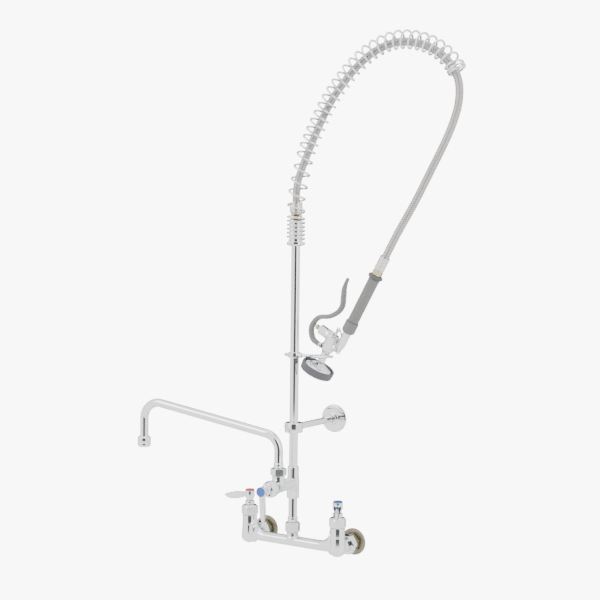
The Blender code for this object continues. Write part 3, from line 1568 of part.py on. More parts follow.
def make_grip(axis):
    """Sleeve, grip, ring and hose fitting, one after another up the grip's axis."""
    low = SLEEVE_LOW
    high = low + SLEEVE_HEIGHT
    sleeve_piece = turned(
        "grip_sleeve",
        [
            (SLEEVE_R - 0.001, high),
            (SLEEVE_R, high - 0.001),
            (SLEEVE_R, low + 0.003),
            (SLEEVE_R - 0.003, low),
            (GRIP_BORE_R, low),
            (GRIP_BORE_R, high),
        ],
        10,
        ring=True,
    )
    place(sleeve_piece, axis, (GRIP_X, 0, 0), (0, 0, 18))
    finish_piece(sleeve_piece, GREY_GRIP)
    low = high + GAP
    high = low + GRIP_LENGTH
    grip = sleeve("spray_grip", GRIP_R, GRIP_BORE_R, low, high, SIDES, 0.0008)
    place(grip, axis, (GRIP_X, 0, 0))
    finish_piece(grip, GREY_GRIP)
    low = high + GAP
    high = low + RING_HEIGHT
    collar = sleeve("grip_ring", RING_R, GRIP_BORE_R, low, high, SIDES, 0.002)
    place(collar, axis, (GRIP_X, 0, 0))
    finish_piece(collar, GREY_BUMPER)
    low = high + GAP
    hex_top = low + UPPER_HEX_HEIGHT
    top = hex_top + UPPER_FERRULE_HEIGHT
    fitting = hex_nut("upper_hose_fitting", UPPER_HEX_FLATS, GRIP_BORE_R - 0.001, low, hex_top, 0.001)
    spot = (GRIP_X, 0, 0)
    place(fitting, axis, spot)
    turn_helpers("upper_hose_fitting_hex", axis, spot, 10)
    cuff = sleeve(
        "upper_ferrule", UPPER_FERRULE_R, GRIP_BORE_R - 0.001, hex_top - 0.001, top, SIDES, 0.001
    )
    place(cuff, axis, spot)
    join(fitting, cuff)
    finish_piece(fitting, BRASS)


def make_hold_ring(spray):
    """The oval wire ring that hangs straight down from the spray valve's eye."""
    hang = frame_at("hold_ring_axis", spray, (HOLD_X, 0, HOLD_TOP_Z), (0, -SPRAY_TILT, 0))
    radius = HOLD_WIDTH / 2 - HOLD_WIRE_R
    straight = HOLD_LENGTH - 2 * HOLD_WIRE_R - 2 * radius
    top = arc((0, 0, -radius), 0, 180, radius, (0, 1, 0), (0, 0, 1), 12)
    bottom = arc((0, 0, -radius - straight), 180, 360, radius, (0, 1, 0), (0, 0, 1), 12)
    ring = wire("hold_ring", top + bottom, HOLD_WIRE_R, 1, closed=True)
    place(ring, hang, (0, 0, -(EYE_BORE_R - HOLD_WIRE_R - 2 * GAP)))
    finish_piece(ring, STEEL)


def make_spray():
    """The whole spray valve, tilted into its hook."""
    spray = frame_at("spray_axis", None, (SPRAY_X, RISER_Y, SPRAY_Z), (0, SPRAY_TILT, 0))
    body = make_spray_body(spray)
    eye_hole = shape_eye(body, spray)
    finish_spray_body(body, spray, eye_hole)
    make_head(spray)
    bonnet_high = make_bonnet(spray)
    make_stem(spray, bonnet_high)
    make_lever(spray)
    make_grip(spray)
    make_hold_ring(spray)


def main():
    global PARTS, CUTTERS
    clear_scene()
    PARTS = new_collection("pre_rinse_faucet")
    CUTTERS = new_collection("cutters")
    half = INLET_SPACING / 2
    make_base()
    for side_name, side in (("hot", -1), ("cold", 1)):
        make_inlet(side_name, side * half)
    make_valve_head("hot", -half, HOT_LEVER_TURN, RED)
    make_valve_head("cold", half, COLD_LEVER_TURN, BLUE)
    make_column()
    make_adf()
    make_adf_handle()
    make_nozzle()
    make_bracket()
    make_hook()
    make_seat()
    make_hose()
    make_spring()
    make_spray()


main()
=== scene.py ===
"""Pre rinse faucet: smooth surfaces, finishes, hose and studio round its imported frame.

X runs along the bar (hot side at -X), +Y goes into the wall, +Z is up, in metres.
"""

import json
import math

import bmesh
import bpy
from bpy.props import FloatProperty, FloatVectorProperty, IntProperty, PointerProperty
from mathutils import Matrix, Vector


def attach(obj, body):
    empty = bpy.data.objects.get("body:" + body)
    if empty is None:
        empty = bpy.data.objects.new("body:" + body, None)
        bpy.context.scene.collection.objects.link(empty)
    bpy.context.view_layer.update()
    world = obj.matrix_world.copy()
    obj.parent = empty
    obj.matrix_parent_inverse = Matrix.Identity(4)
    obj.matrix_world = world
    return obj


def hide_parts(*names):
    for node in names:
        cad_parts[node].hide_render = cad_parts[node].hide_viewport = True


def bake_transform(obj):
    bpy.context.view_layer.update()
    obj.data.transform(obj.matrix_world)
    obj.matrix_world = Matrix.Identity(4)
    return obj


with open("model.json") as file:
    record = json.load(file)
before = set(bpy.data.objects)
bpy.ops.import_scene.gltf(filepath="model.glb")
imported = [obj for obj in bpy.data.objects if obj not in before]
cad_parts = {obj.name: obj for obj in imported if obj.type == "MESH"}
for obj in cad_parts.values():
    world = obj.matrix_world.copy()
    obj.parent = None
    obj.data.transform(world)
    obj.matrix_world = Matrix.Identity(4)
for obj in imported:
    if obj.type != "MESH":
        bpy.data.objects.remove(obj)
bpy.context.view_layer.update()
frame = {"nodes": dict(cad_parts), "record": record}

bl_info = {
    "name": "Pre Rinse Faucet",
    "version": (1, 0, 0),
    "blender": (4, 5, 0),
    "location": "View3D > Sidebar > Faucet",
    "description": "Builds the visible surfaces of a wall mounted pre rinse faucet",
    "category": "Object",
}

GAP = 0.0003

# Base
HALF = 0.1016
RISER_Y = -0.065
WALL = 0.065
BAR_R = 0.0102
TOWER_R = 0.0145
TOWER_LOW_R = 0.0158
TOP_FILLET = 0.0250
BONNET_ROUND_R = 0.0166
TOWER_TOP = 0.0395
STUB_R = 0.013

# Column
PIPE_R = 0.00855
SWIVEL_Z0 = 0.0175
NIPPLE_Z0 = 0.0383
ADF_Z0 = 0.0848
ADF_Z1 = 0.1473
BARREL_Z = 0.1148
RISER_TOP = 0.5773
SOCKET_TOP = 0.1368
NOZZLE_AT = 0.053
NOZZLE_R = 0.0085
NOZZLE_REACH = 0.304
BRACKET_Z = 0.2235
HOOK_Z = 0.365

# Spring and hose
SEAT_TOP = RISER_TOP + 0.0484
FITTING_Z0 = SEAT_TOP + GAP
FITTING_Z1 = FITTING_Z0 + 0.0355
SPRING_R = 0.0161
SPRING_TURNS = 39
CLOSE_TURNS = 6.0
CLOSE_PITCH = 0.0077
OPEN_TURNS = 5.0
OPEN_PITCH = 0.0245
SPRING_END_DROP = 0.066
SPRING_OFFSET_LOW = -0.0040
SPRING_OFFSET_HIGH = 0.0044
END_TURNS = 2.0
END_PITCH = 0.0052
SEAM_DROP = 0.058
HOSE_ROUTE = [
    (0.000, 0.680),
    (0.004, 0.705),
    (0.015, 0.733),
    (0.033, 0.773),
    (0.052, 0.811),
    (0.074, 0.849),
    (0.099, 0.881),
    (0.132, 0.914),
    (0.170, 0.939),
    (0.213, 0.951),
    (0.256, 0.946),
    (0.292, 0.930),
    (0.320, 0.905),
    (0.336, 0.878),
    (0.340, 0.850),
    (0.335, 0.817),
    (0.318, 0.774),
    (0.288, 0.717),
    (0.255, 0.657),
    (0.222, 0.603),
]

# Spray valve: local +Z runs up the grip, local +X away from the lever
SPRAY_AT = Vector((0.0805, RISER_Y, 0.3972))
SPRAY_TILT = math.radians(28.8)
HEAD_X = 0.0025
HEAD_Z = -0.06375
BUMPER_HALF = 0.00775
GRIP_X = 0.0245
SLEEVE_LOW = 0.032
SLEEVE_TOP = 0.056
GRIP_TOP = SLEEVE_TOP + GAP + 0.094
RING_TOP = GRIP_TOP + GAP + 0.0075
UPPER_HEX_TOP = RING_TOP + GAP + 0.0085
UPPER_TOP = UPPER_HEX_TOP + 0.029
BONNET_Z = 0.0080
PIN_X = -0.0110
PIN_Z = -0.0170
EYE_X = 0.005
EYE_Z = 0.027
RING_WIRE_R = 0.0015
RING_WIDTH = 0.0255
RING_LENGTH = 0.048

# A handle from hub to tip: shares of its length, thickness, height and drop
LEVER_STATIONS = [
    (0.00, 1.45, 0.68, 0.00),
    (0.20, 1.25, 0.72, 0.14),
    (0.42, 1.00, 0.93, 0.52),
    (0.60, 0.96, 1.00, 0.72),
    (0.80, 0.82, 0.82, 0.96),
    (0.93, 0.54, 0.52, 1.00),
    (1.00, 0.25, 0.25, 0.98),
]

# Where the viewer stands
CAMERA_AT = (1.2004, -1.9736, 0.5549)
CAMERA_AZIMUTH = math.radians(31.93)
CAMERA_PITCH = math.radians(-2.1)
CAMERA_ROLL = math.radians(0.67)
CAMERA_LENS = 69.6

# Studio
ROOM_POWER = 2.2
BACKDROP_POWER = 9.0
ROOM_SHADES = ((0.0, 1.0), (0.55, 1.0), (0.78, 0.80), (0.885, 0.55), (0.93, 0.05), (1.0, 0.02))
DOOR_EDGE = (-0.84, -0.90)
SILL_EDGE = (-0.225, -0.19)
DOOR_SHADE = 0.06
FLOOR_Z = -0.62
FLOOR_HALF = 9.0
FLOOR_FADE = (0.8, 1.6)

COLOURS = {m["slot"]: tuple(m["base_color"][:3]) for m in frame["record"]["materials"]}


# ---------------------------------------------------------------- shapes


def moved(shell, matrix):
    """The shell carried to another place."""
    points, faces = shell
    return [matrix @ Vector(p) for p in points], faces


def fillet(outline, size, steps=4, closed=False):
    """The outline with its corners rounded, each by at most that size."""
    smooth = []
    last = len(outline) - 1
    for i, point in enumerate(outline):
        if not closed and i in (0, last):
            smooth.append(tuple(point))
            continue
        here = Vector(point)
        back = Vector(outline[i - 1]) - here
        ahead = Vector(outline[(i + 1) % (last + 1)]) - here
        reach = min(size, back.length * 0.48, ahead.length * 0.48)
        start = here + back.normalized() * reach
        end = here + ahead.normalized() * reach
        for k in range(steps + 1):
            t = k / steps
            smooth.append(tuple(start * (1 - t) ** 2 + here * 2 * t * (1 - t) + end * t * t))
    return smooth


def lathe(outline, sides=64, ring=False):
    """A turned shell. outline is (radius, height), and a ring's closes on its start."""
    points = []
    rows = []
    for radius, height in outline:
        if radius < 1e-7:
            rows.append([len(points)] * sides)
            points.append(Vector((0, 0, height)))
            continue
        rows.append(list(range(len(points), len(points) + sides)))
        for i in range(sides):
            angle = 2 * math.pi * i / sides
            points.append(Vector((radius * math.cos(angle), radius * math.sin(angle), height)))
    if ring:
        rows.append(rows[0])
    return points, band_faces(rows)


def band_faces(rows):
    """Faces between rows of points that close on themselves."""
    faces = []
    for low, high in zip(rows, rows[1:]):
        for i in range(len(low)):
            j = (i + 1) % len(low)
            face = list(dict.fromkeys((low[i], low[j], high[j], high[i])))
            if len(face) > 2:
                faces.append(face)
    return faces


def cylinder(radius, low, high, ease=0.0006, sides=48):
    """A round bar along Z with eased rims."""
    return lathe(fillet([(0, high), (radius, high), (radius, low), (0, low)], ease), sides)


def collar(outer, bore, low, high, ease=0.001, sides=64):
    """A round ring along Z with eased rims."""
    square = [(outer, high), (outer, low), (bore, low), (bore, high)]
    return lathe(fillet(square, ease, closed=True), sides, ring=True)


def hexagon(flats, low, high, bore, top, bottom, stops=(), turn=0.0, limit=1.0):
    """A six-sided nut. top and bottom give the height taken off at each radius.

    limit is the furthest that its corners reach.
    """
    offsets = (-29, -26, -21, -14, -7, 0, 7, 14, 21, 26, 29)
    angles = [(60 * side + step, step) for side in range(6) for step in offsets]
    radii = [min(flats / 2 / math.cos(math.radians(step)), limit) for angle, step in angles]
    inner = [bore] + [stop for stop in stops if bore < stop < flats / 2]
    levels = []
    for edge, direction in ((high, -1), (low, 1)):
        cut = top if direction < 0 else bottom
        absolute = [[r] * len(radii) for r in inner]
        outer = [[inner[-1] + (r - inner[-1]) * share for r in radii] for share in (0.5, 1)]
        rows = absolute + outer
        if direction > 0:
            rows.reverse()
        levels += [[(r, edge + direction * cut(r)) for r in row] for row in rows]
    points = []
    rows = []
    for level in levels:
        rows.append(list(range(len(points), len(points) + len(level))))
        for (angle, step), (radius, height) in zip(angles, level):
            way = math.radians(angle + turn)
            points.append(Vector((radius * math.cos(way), radius * math.sin(way), height)))
    rows.append(rows[0])
    return points, band_faces(rows)


def cone_cut(start, slope=0.577):
    """Takes off a cone outside a radius."""
    return lambda radius: max(0.0, radius - start) * slope


def dome_cut(start, end, depth):
    """Takes off a quarter of an oval between two radii."""

    def cut(radius):
        share = min(max((radius - start) / (end - start), 0.0), 1.0)
        return depth * (1 - math.sqrt(1 - share * share))

    return cut


def plain_nut(flats, low, high, bore, turn):
    """A nut with the usual cone on both ends."""
    start = flats * 0.47
    return hexagon(flats, low, high, bore, cone_cut(start), cone_cut(start), (start,), turn)


def sweep(route, radius, sides=24, closed=False):
    """A round shell along a route. radius is a number or one for each point."""
    line = [Vector(p) for p in route]
    count = len(line)
    radii = radius if isinstance(radius, (list, tuple)) else [radius] * count
    points = []
    rows = []
    across = None
    for i, point in enumerate(line):
        if closed:
            along = line[(i + 1) % count] - line[i - 1]
        else:
            along = line[min(i + 1, count - 1)] - line[max(i - 1, 0)]
        along.normalize()
        if across is None:
            across = along.orthogonal().normalized()
        across = (across - along * across.dot(along)).normalized()
        other = along.cross(across)
        rows.append(list(range(len(points), len(points) + sides)))
        for k in range(sides):
            angle = 2 * math.pi * k / sides
            spoke = across * math.cos(angle) + other * math.sin(angle)
            points.append(point + spoke * radii[i])
    faces = band_faces(rows + rows[:1] if closed else rows)
    if not closed:
        faces += end_caps(points, rows[0], rows[-1], line[0], line[-1])
    return points, faces


def end_caps(points, first, last, start, end):
    """Fans that shut a shell's two open rows."""
    fans = []
    for row, centre in ((first, start), (last, end)):
        middle = len(points)
        points.append(Vector(centre))
        fans += [(row[i], row[(i + 1) % len(row)], middle) for i in range(len(row))]
    return fans


def loft(sections):
    """A shell through rings of the same number of points."""
    points = []
    rows = []
    for section in sections:
        rows.append(list(range(len(points), len(points) + len(section))))
        points += [Vector(p) for p in section]
    faces = band_faces(rows)
    centres = [sum((Vector(p) for p in s), Vector()) / len(s) for s in (sections[0], sections[-1])]
    faces += end_caps(points, rows[0], rows[-1], *centres)
    return points, faces


def oval(centre, across, up, half_across, half_up, power=2.0, count=40):
    """A ring about centre: round at power 2, and squarer above it."""
    ring = []
    for i in range(count):
        angle = 2 * math.pi * i / count
        c, s = math.cos(angle), math.sin(angle)
        a = math.copysign(abs(c) ** (2 / power), c) * half_across
        b = math.copysign(abs(s) ** (2 / power), s) * half_up
        ring.append(Vector(centre) + Vector(across) * a + Vector(up) * b)
    return ring


def thread(radius, low, high, pitch=0.0014, depth=0.0006):
    """The profile of a thread, as (radius, height) from its high end down."""
    count = max(1, round((high - low) / pitch))
    step = (high - low) / count
    ridge = []
    for i in range(count):
        start = high - i * step
        ridge += [(radius - depth, start), (radius, start - step / 2)]
    return ridge + [(radius - depth, low)]


def arc(centre, start, end, radius, across, up, steps):
    """Points of an arc, in degrees, in the plane of two directions."""
    line = []
    for i in range(steps + 1):
        angle = math.radians(start + (end - start) * i / steps)
        spoke = Vector(across) * math.cos(angle) + Vector(up) * math.sin(angle)
        line.append(Vector(centre) + spoke * radius)
    return line


def smooth_route(points, steps=12):
    """Points of the smooth curve that passes through the given ones."""
    line = [Vector(point) for point in points]
    line = [2 * line[0] - line[1]] + line + [2 * line[-1] - line[-2]]
    fine = []
    for i in range(1, len(line) - 2):
        a, b, c, d = line[i - 1 : i + 3]
        for k in range(steps):
            t = k / steps
            square = (2 * a - 5 * b + 4 * c - d) * t * t
            fine.append(0.5 * (2 * b + (c - a) * t + square + (3 * b - a - 3 * c + d) * t**3))
    fine.append(line[-2])
    return fine


def lengths_of(line):
    """How far along the line each of its points is."""
    lengths = [0.0]
    for a, b in zip(line, line[1:]):
        lengths.append(lengths[-1] + (b - a).length)
    return lengths


def point_at(line, lengths, distance):
    """The point and the direction of a line at a distance along it."""
    distance = min(max(distance, 0.0), lengths[-1])
    low = 0
    high = len(lengths) - 1
    while high - low > 1:
        middle = (low + high) // 2
        if lengths[middle] <= distance:
            low = middle
        else:
            high = middle
    share = (distance - lengths[low]) / max(lengths[high] - lengths[low], 1e-9)
    return line[low].lerp(line[high], share), (line[high] - line[low]).normalized()


def ease_in(share):
    """Goes smoothly from 0 to 1 as share does."""
    share = min(max(share, 0.0), 1.0)
    return share * share * (3 - 2 * share)


# ---------------------------------------------------------------- places


def at(x, y, z, tilt_x=0.0, tilt_y=0.0, turn=0.0):
    """A place: moved to a point, then turned in degrees about X, Y and Z."""
    place = Matrix.Translation((x, y, z)) @ Matrix.Rotation(math.radians(turn), 4, "Z")
    place = place @ Matrix.Rotation(math.radians(tilt_y), 4, "Y")
    return place @ Matrix.Rotation(math.radians(tilt_x), 4, "X")


SPRAY = Matrix.Translation(SPRAY_AT) @ Matrix.Rotation(SPRAY_TILT, 4, "Y")
HEAD = SPRAY @ Matrix.Translation((HEAD_X, 0, 0))
GRIP = SPRAY @ Matrix.Translation((GRIP_X, 0, 0))
SIDEWAYS = SPRAY @ at(0, 0, BONNET_Z, tilt_y=-90)
COLUMN = at(0, RISER_Y, 0)
ADF_FRONT = at(0, RISER_Y, BARREL_Z, tilt_x=90)
NOZZLE = at(0, RISER_Y - NOZZLE_AT, 0, turn=186.67)
BRACKET = at(0, RISER_Y, BRACKET_Z)
HOOK = at(0, RISER_Y, HOOK_Z)


def slotted(shell, width, reach, top, depth):
    """A screw's shell with a straight slot across its head, along Z."""
    low, high = top - depth, top + 0.002
    corners = [(x, y, z) for x in (-reach, reach) for y in (-width, width) for z in (low, high)]
    sides = [(0, 1, 3, 2), (4, 6, 7, 5), (0, 4, 5, 1), (2, 3, 7, 6), (0, 2, 6, 4), (1, 5, 7, 3)]
    return carved(shell, [([Vector(c) for c in corners], sides)])


def carved(shell, cutters):
    """The shell with other shells cut out of it."""
    held = []
    for part in [shell] + list(cutters):
        mesh = make_mesh("carve", [part])
        obj = bpy.data.objects.new("carve", mesh)
        bpy.context.scene.collection.objects.link(obj)
        held.append(obj)
    for tool in held[1:]:
        cut = held[0].modifiers.new("cut", "BOOLEAN")
        cut.object = tool
        cut.operation = "DIFFERENCE"
    bpy.context.view_layer.update()
    graph = bpy.context.evaluated_depsgraph_get()
    mesh = bpy.data.meshes.new_from_object(held[0].evaluated_get(graph))
    points = [v.co.copy() for v in mesh.vertices]
    faces = [tuple(p.vertices) for p in mesh.polygons]
    for obj in held:
        bpy.data.objects.remove(obj, do_unlink=True)
    return points, faces


def make_mesh(name, shells):
    """A mesh of shells, each with its faces pointing out."""
    points = []
    faces = []
    for some_points, some_faces in shells:
        start = len(points)
        points += some_points
        faces += [tuple(i + start for i in face) for face in some_faces]
    mesh = bpy.data.meshes.new(name)
    mesh.from_pydata(points, [], faces)
    shape = bmesh.new()
    shape.from_mesh(mesh)
    bmesh.ops.recalc_face_normals(shape, faces=shape.faces)
    shape.to_mesh(mesh)
    shape.free()
    mesh.shade_smooth()
    return mesh


def emit(name, shells, matrix, body, nodes, slot, sharp=32.0):
    """Adds a visible piece that rides on a body in place of the CAD nodes."""
    mesh = make_mesh(name, [moved(shell, matrix) for shell in shells])
    mesh.set_sharp_from_angle(angle=math.radians(sharp))
    obj = bpy.data.objects.new(name, mesh)
    bpy.context.scene.collection.objects.link(obj)
    mesh.materials.append(material(slot))
    if body:
        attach(obj, body)
    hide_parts(*nodes)
    return obj


# ---------------------------------------------------------------- finishes


def node(tree, kind, **values):
    """A shader node with its inputs and settings filled in."""
    made = tree.nodes.new(kind)
    for key, value in values.items():
        if key in made.inputs:
            made.inputs[key].default_value = value
        else:
            setattr(made, key, value)
    return made


def ranged(tree, source, start, end=(0.0, 1.0), smooth=False):
    """A value carried from one range to another, eased at both ends when smooth."""
    kind = "SMOOTHSTEP" if smooth else "LINEAR"
    made = node(tree, "ShaderNodeMapRange", interpolation_type=kind)
    made.inputs["From Min"].default_value, made.inputs["From Max"].default_value = start
    made.inputs["To Min"].default_value, made.inputs["To Max"].default_value = end
    tree.links.new(source, made.inputs["Value"])
    return made.outputs["Result"]


# finish: metallic, roughness, colour change, roughness change, grain size, bump, stretch
FINISHES = {
    "chrome": (1.0, 0.075, 0.03, 0.35, 60.0, 0.010, (1, 1, 1)),
    "steel": (1.0, 0.26, 0.08, 0.30, 500.0, 0.030, (1, 1, 0.1)),
    "braid": (1.0, 0.24, 0.16, 0.30, 240.0, 0.030, (1, 1, 1)),
    "raw_brass": (0.85, 0.42, 0.35, 0.30, 170.0, 0.120, (1, 1, 1)),
    "brass": (1.0, 0.24, 0.15, 0.35, 260.0, 0.030, (1, 1, 1)),
    "nickel": (1.0, 0.24, 0.07, 0.35, 150.0, 0.030, (1, 1, 1)),
    "rubber": (0.0, 0.70, 0.10, 0.15, 600.0, 0.100, (1, 1, 1)),
    "grip": (0.0, 0.46, 0.09, 0.18, 700.0, 0.060, (1, 1, 1)),
    "lever": (0.0, 0.36, 0.08, 0.20, 650.0, 0.045, (1, 1, 1)),
    "bumper": (0.0, 0.58, 0.12, 0.15, 600.0, 0.080, (1, 1, 1)),
    "red": (0.0, 0.32, 0.10, 0.20, 300.0, 0.030, (1, 1, 1)),
    "blue": (0.0, 0.32, 0.10, 0.20, 300.0, 0.030, (1, 1, 1)),
}


def material(slot):
    """The finish of a slot: its colour and gloss change a little over the surface."""
    found = bpy.data.materials.get(slot + "_finish")
    if found:
        return found
    metallic, rough, tint, change, grain, bump, stretch = FINISHES[slot]
    colour = tuple(getattr(bpy.context.scene.faucet, slot))
    made = bpy.data.materials.new(slot + "_finish")
    made.use_nodes = True
    tree = made.node_tree
    shader = tree.nodes["Principled BSDF"]
    shader.inputs["Metallic"].default_value = metallic
    shader.inputs["IOR"].default_value = 1.5
    place = node(tree, "ShaderNodeTexCoord")
    scale = node(tree, "ShaderNodeMapping")
    scale.inputs["Scale"].default_value = stretch
    tree.links.new(place.outputs["Object"], scale.inputs["Vector"])
    broad = node(tree, "ShaderNodeTexNoise", Scale=22.0, Detail=4.0, Roughness=0.6)
    fine = node(tree, "ShaderNodeTexNoise", Scale=grain, Detail=3.0, Roughness=0.55)
    for texture in (broad, fine):
        tree.links.new(scale.outputs["Vector"], texture.inputs["Vector"])
    ramp = node(tree, "ShaderNodeValToRGB")
    ramp.color_ramp.elements[0].position = 0.35
    ramp.color_ramp.elements[1].position = 0.68
    ramp.color_ramp.elements[0].color = (*[c * (1 - tint) for c in colour], 1)
    ramp.color_ramp.elements[1].color = (*[min(c * (1 + tint * 0.6), 1) for c in colour], 1)
    mixed = node(tree, "ShaderNodeMath", operation="MULTIPLY_ADD")
    mixed.inputs[1].default_value = 0.55
    halved = node(tree, "ShaderNodeMath", operation="MULTIPLY")
    halved.inputs[1].default_value = 0.45
    tree.links.new(fine.outputs["Fac"], halved.inputs[0])
    tree.links.new(broad.outputs["Fac"], mixed.inputs[0])
    tree.links.new(halved.outputs[0], mixed.inputs[2])
    tree.links.new(mixed.outputs[0], ramp.inputs["Fac"])
    tree.links.new(ramp.outputs["Color"], shader.inputs["Base Color"])
    smoother, rougher = rough * (1 - change), rough * (1 + change)
    gloss = ranged(tree, broad.outputs["Fac"], (0.3, 0.7), (smoother, rougher))
    tree.links.new(gloss, shader.inputs["Roughness"])
    raised = node(tree, "ShaderNodeBump", Strength=bump, Distance=0.0008)
    tree.links.new(fine.outputs["Fac"], raised.inputs["Height"])
    tree.links.new(raised.outputs["Normal"], shader.inputs["Normal"])
    return made


# ---------------------------------------------------------------- base


def bar_section(side, distance):
    """The bar's oval section at a distance from a tower's axis, fuller near the tower."""

    def grow(radius):
        start = TOWER_R + radius
        reach = max(0.0, start - max(distance, TOWER_R))
        return 0.95 * (radius - math.sqrt(max(radius * radius - min(reach, radius) ** 2, 0.0)))

    top = BAR_R + grow(TOP_FILLET)
    low = BAR_R + grow(0.0050)
    width = BAR_R + grow(0.0032)
    centre = (side * (HALF - distance), 0.0, (top - low) / 2)
    return oval(centre, (0, 1, 0), (0, 0, 1), width, (top + low) / 2)


def build_base():
    """The cast bar with its two towers, spud and inlet stubs."""
    steps = [0.008, TOWER_R]
    steps += [TOWER_R + TOP_FILLET * (i / 20) ** 1.5 for i in range(1, 21)]
    sections = [bar_section(-1, step) for step in steps]
    sections += [bar_section(1, step) for step in reversed(steps)]
    shells = [loft(sections)]
    dome = []
    for i in range(13):
        angle = math.radians(7.5 * i)
        radius = TOWER_LOW_R * math.cos(angle) if i < 12 else 0.0
        dome.append((radius, -0.004 - 0.013 * math.sin(angle)))
    shoulder = [(0, TOWER_TOP), (TOWER_R, TOWER_TOP), (TOWER_R, 0.020), dome[0]]
    tower = lathe(fillet(shoulder, 0.0010)[:-1] + dome, 72)
    stub = moved(cylinder(STUB_R, 0.0, 0.036), at(0, 0, 0, tilt_x=-90))
    for side in (-1, 1):
        shells += [moved(tower, at(side * HALF, 0, 0)), moved(stub, at(side * HALF, 0, 0))]
    spud = [(0, 0.0172), (0.0115, 0.0172), (0.0115, 0.012), (0.0125, 0.0092), (0.0147, 0.007)]
    spud += [(0.0085, 0.0), (0, 0)]
    shells.append(lathe(fillet(spud, 0.0016), 64))
    emit("base_casting", shells, COLUMN, "faucet", ["base_body"], "chrome", 38.0)


def build_inlet(name, side):
    """Union nut, nipple and wall flange of one inlet."""
    axis = at(side * HALF, RISER_Y, 0, tilt_x=-90)
    start = cone_cut(0.0172, 0.8)
    nut = hexagon(0.0355, 0.028, 0.0443, 0.0133, start, start, (0.0172,), 30)
    emit(name + "_union", [nut], axis, "faucet", [name + "_union_nut"], "chrome")
    rear = WALL - GAP
    outline = [(0.013, rear), (0.013, 0.0575), (0.010, 0.0472), (0.010, 0.0413), (0.0128, 0.0411)]
    outline += [(0.0128, 0.0387), (0.007, 0.0387), (0.007, rear - 0.017)]
    outline += list(reversed(thread(0.0112, rear - 0.0165, rear - 0.0006, 0.0018, 0.0008)))
    six = plain_nut(0.033, 0.0462, 0.058, 0.011, 12)
    shells = [lathe(outline, 64, ring=True), six]
    emit(name + "_nipple", shells, axis, "faucet", [name + "_inlet_nipple"], "raw_brass")
    disc = [(0.0264, WALL), (0.0264, 0.0622), (0.0232, 0.0589), (0.0196, 0.0583)]
    disc += [(0.0133, 0.0583), (0.0133, WALL)]
    shell = lathe(fillet(disc, 0.0009, closed=True), 96, ring=True)
    emit(name + "_wall_disc", [shell], axis, "faucet", [name + "_flange"], "raw_brass")


# ---------------------------------------------------------------- handles


def blade(length, thickness, height, drop):
    """A handle's arm and upright blade along +X from its hub's axis."""
    fine = smooth_route([Vector((*station[:3],)) for station in LEVER_STATIONS], 6)
    falls = smooth_route([Vector((s[3], 0, 0)) for s in LEVER_STATIONS], 6)
    sections = []
    for share, fall in zip(fine, falls):
        centre = (length * share.x, 0, -drop * fall.x)
        squarer = 2.0 + 0.9 * ease_in((share.x - 0.15) / 0.3)
        thick = thickness * share.y / 2
        tall = height * share.z / 2
        sections.append(oval(centre, (0, 1, 0), (0, 0, 1), thick, tall, squarer, 36))
    tip = sections[-1]
    middle = sum(tip, Vector()) / len(tip)
    for shrink, ahead in ((0.75, 0.0004), (0.4, 0.0007)):
        sections.append([middle + (p - middle) * shrink + Vector((ahead, 0, 0)) for p in tip])
    return loft(sections)


def build_valve_head(name, side, turn, slot):
    """Bonnet, packing nut, handle and index disc of one tower."""
    seat = at(side * HALF, RISER_Y, 0)
    low = TOWER_TOP + GAP
    high = low + 0.020
    stops = [0.0105 + 0.0011 * i for i in range(4)]
    top = dome_cut(0.0105, 0.0177, 0.0095)
    foot = dome_cut(0.0132, 0.0169, 0.0052)
    bonnet = hexagon(0.0305, low, high, 0.0045, top, foot, stops, 8, BONNET_ROUND_R)
    emit(name + "_bonnet_nut", [bonnet], seat, "faucet", [name + "_bonnet"], "chrome", 24.0)
    low = high + GAP
    high = low + 0.0075
    outline = [(0.0097, high), (0.0097, low), (0.0043, low), (0.0043, high)]
    packing = lathe(fillet(outline, 0.0022, closed=True), 64, ring=True)
    emit(name + "_packing", [packing], seat, "faucet", [name + "_packing_nut"], "chrome")
    low = high + GAP
    high = low + 0.020
    hub = [(0, high), (0.0097, high), (0.0097, low + 0.009), (0.0062, low), (0, low)]
    shells = [lathe(fillet(hub, 0.0012), 64)]
    shells.append(moved(blade(0.059, 0.0112, 0.0148, 0.0072), at(0, 0, high - 0.008)))
    axis = seat @ at(0, 0, 0, turn=turn - 90)
    emit(name + "_handle_arm", shells, axis, name + "_handle", [name + "_lever"], "chrome")
    build_index(name, axis, high + GAP, slot)


def build_index(name, axis, low, slot):
    """The coloured disc on a handle's hub, dished inside a narrow rim."""
    high = low + 0.0024
    outline = [(0, high - 0.0004), (0.0074, high - 0.0004), (0.0080, high), (0.0093, high)]
    outline += [(0.0093, low), (0, low)]
    shell = lathe(fillet(outline, 0.0007), 64)
    emit(name + "_index_disc", [shell], axis, name + "_handle", [name + "_index"], slot)


# ---------------------------------------------------------------- column


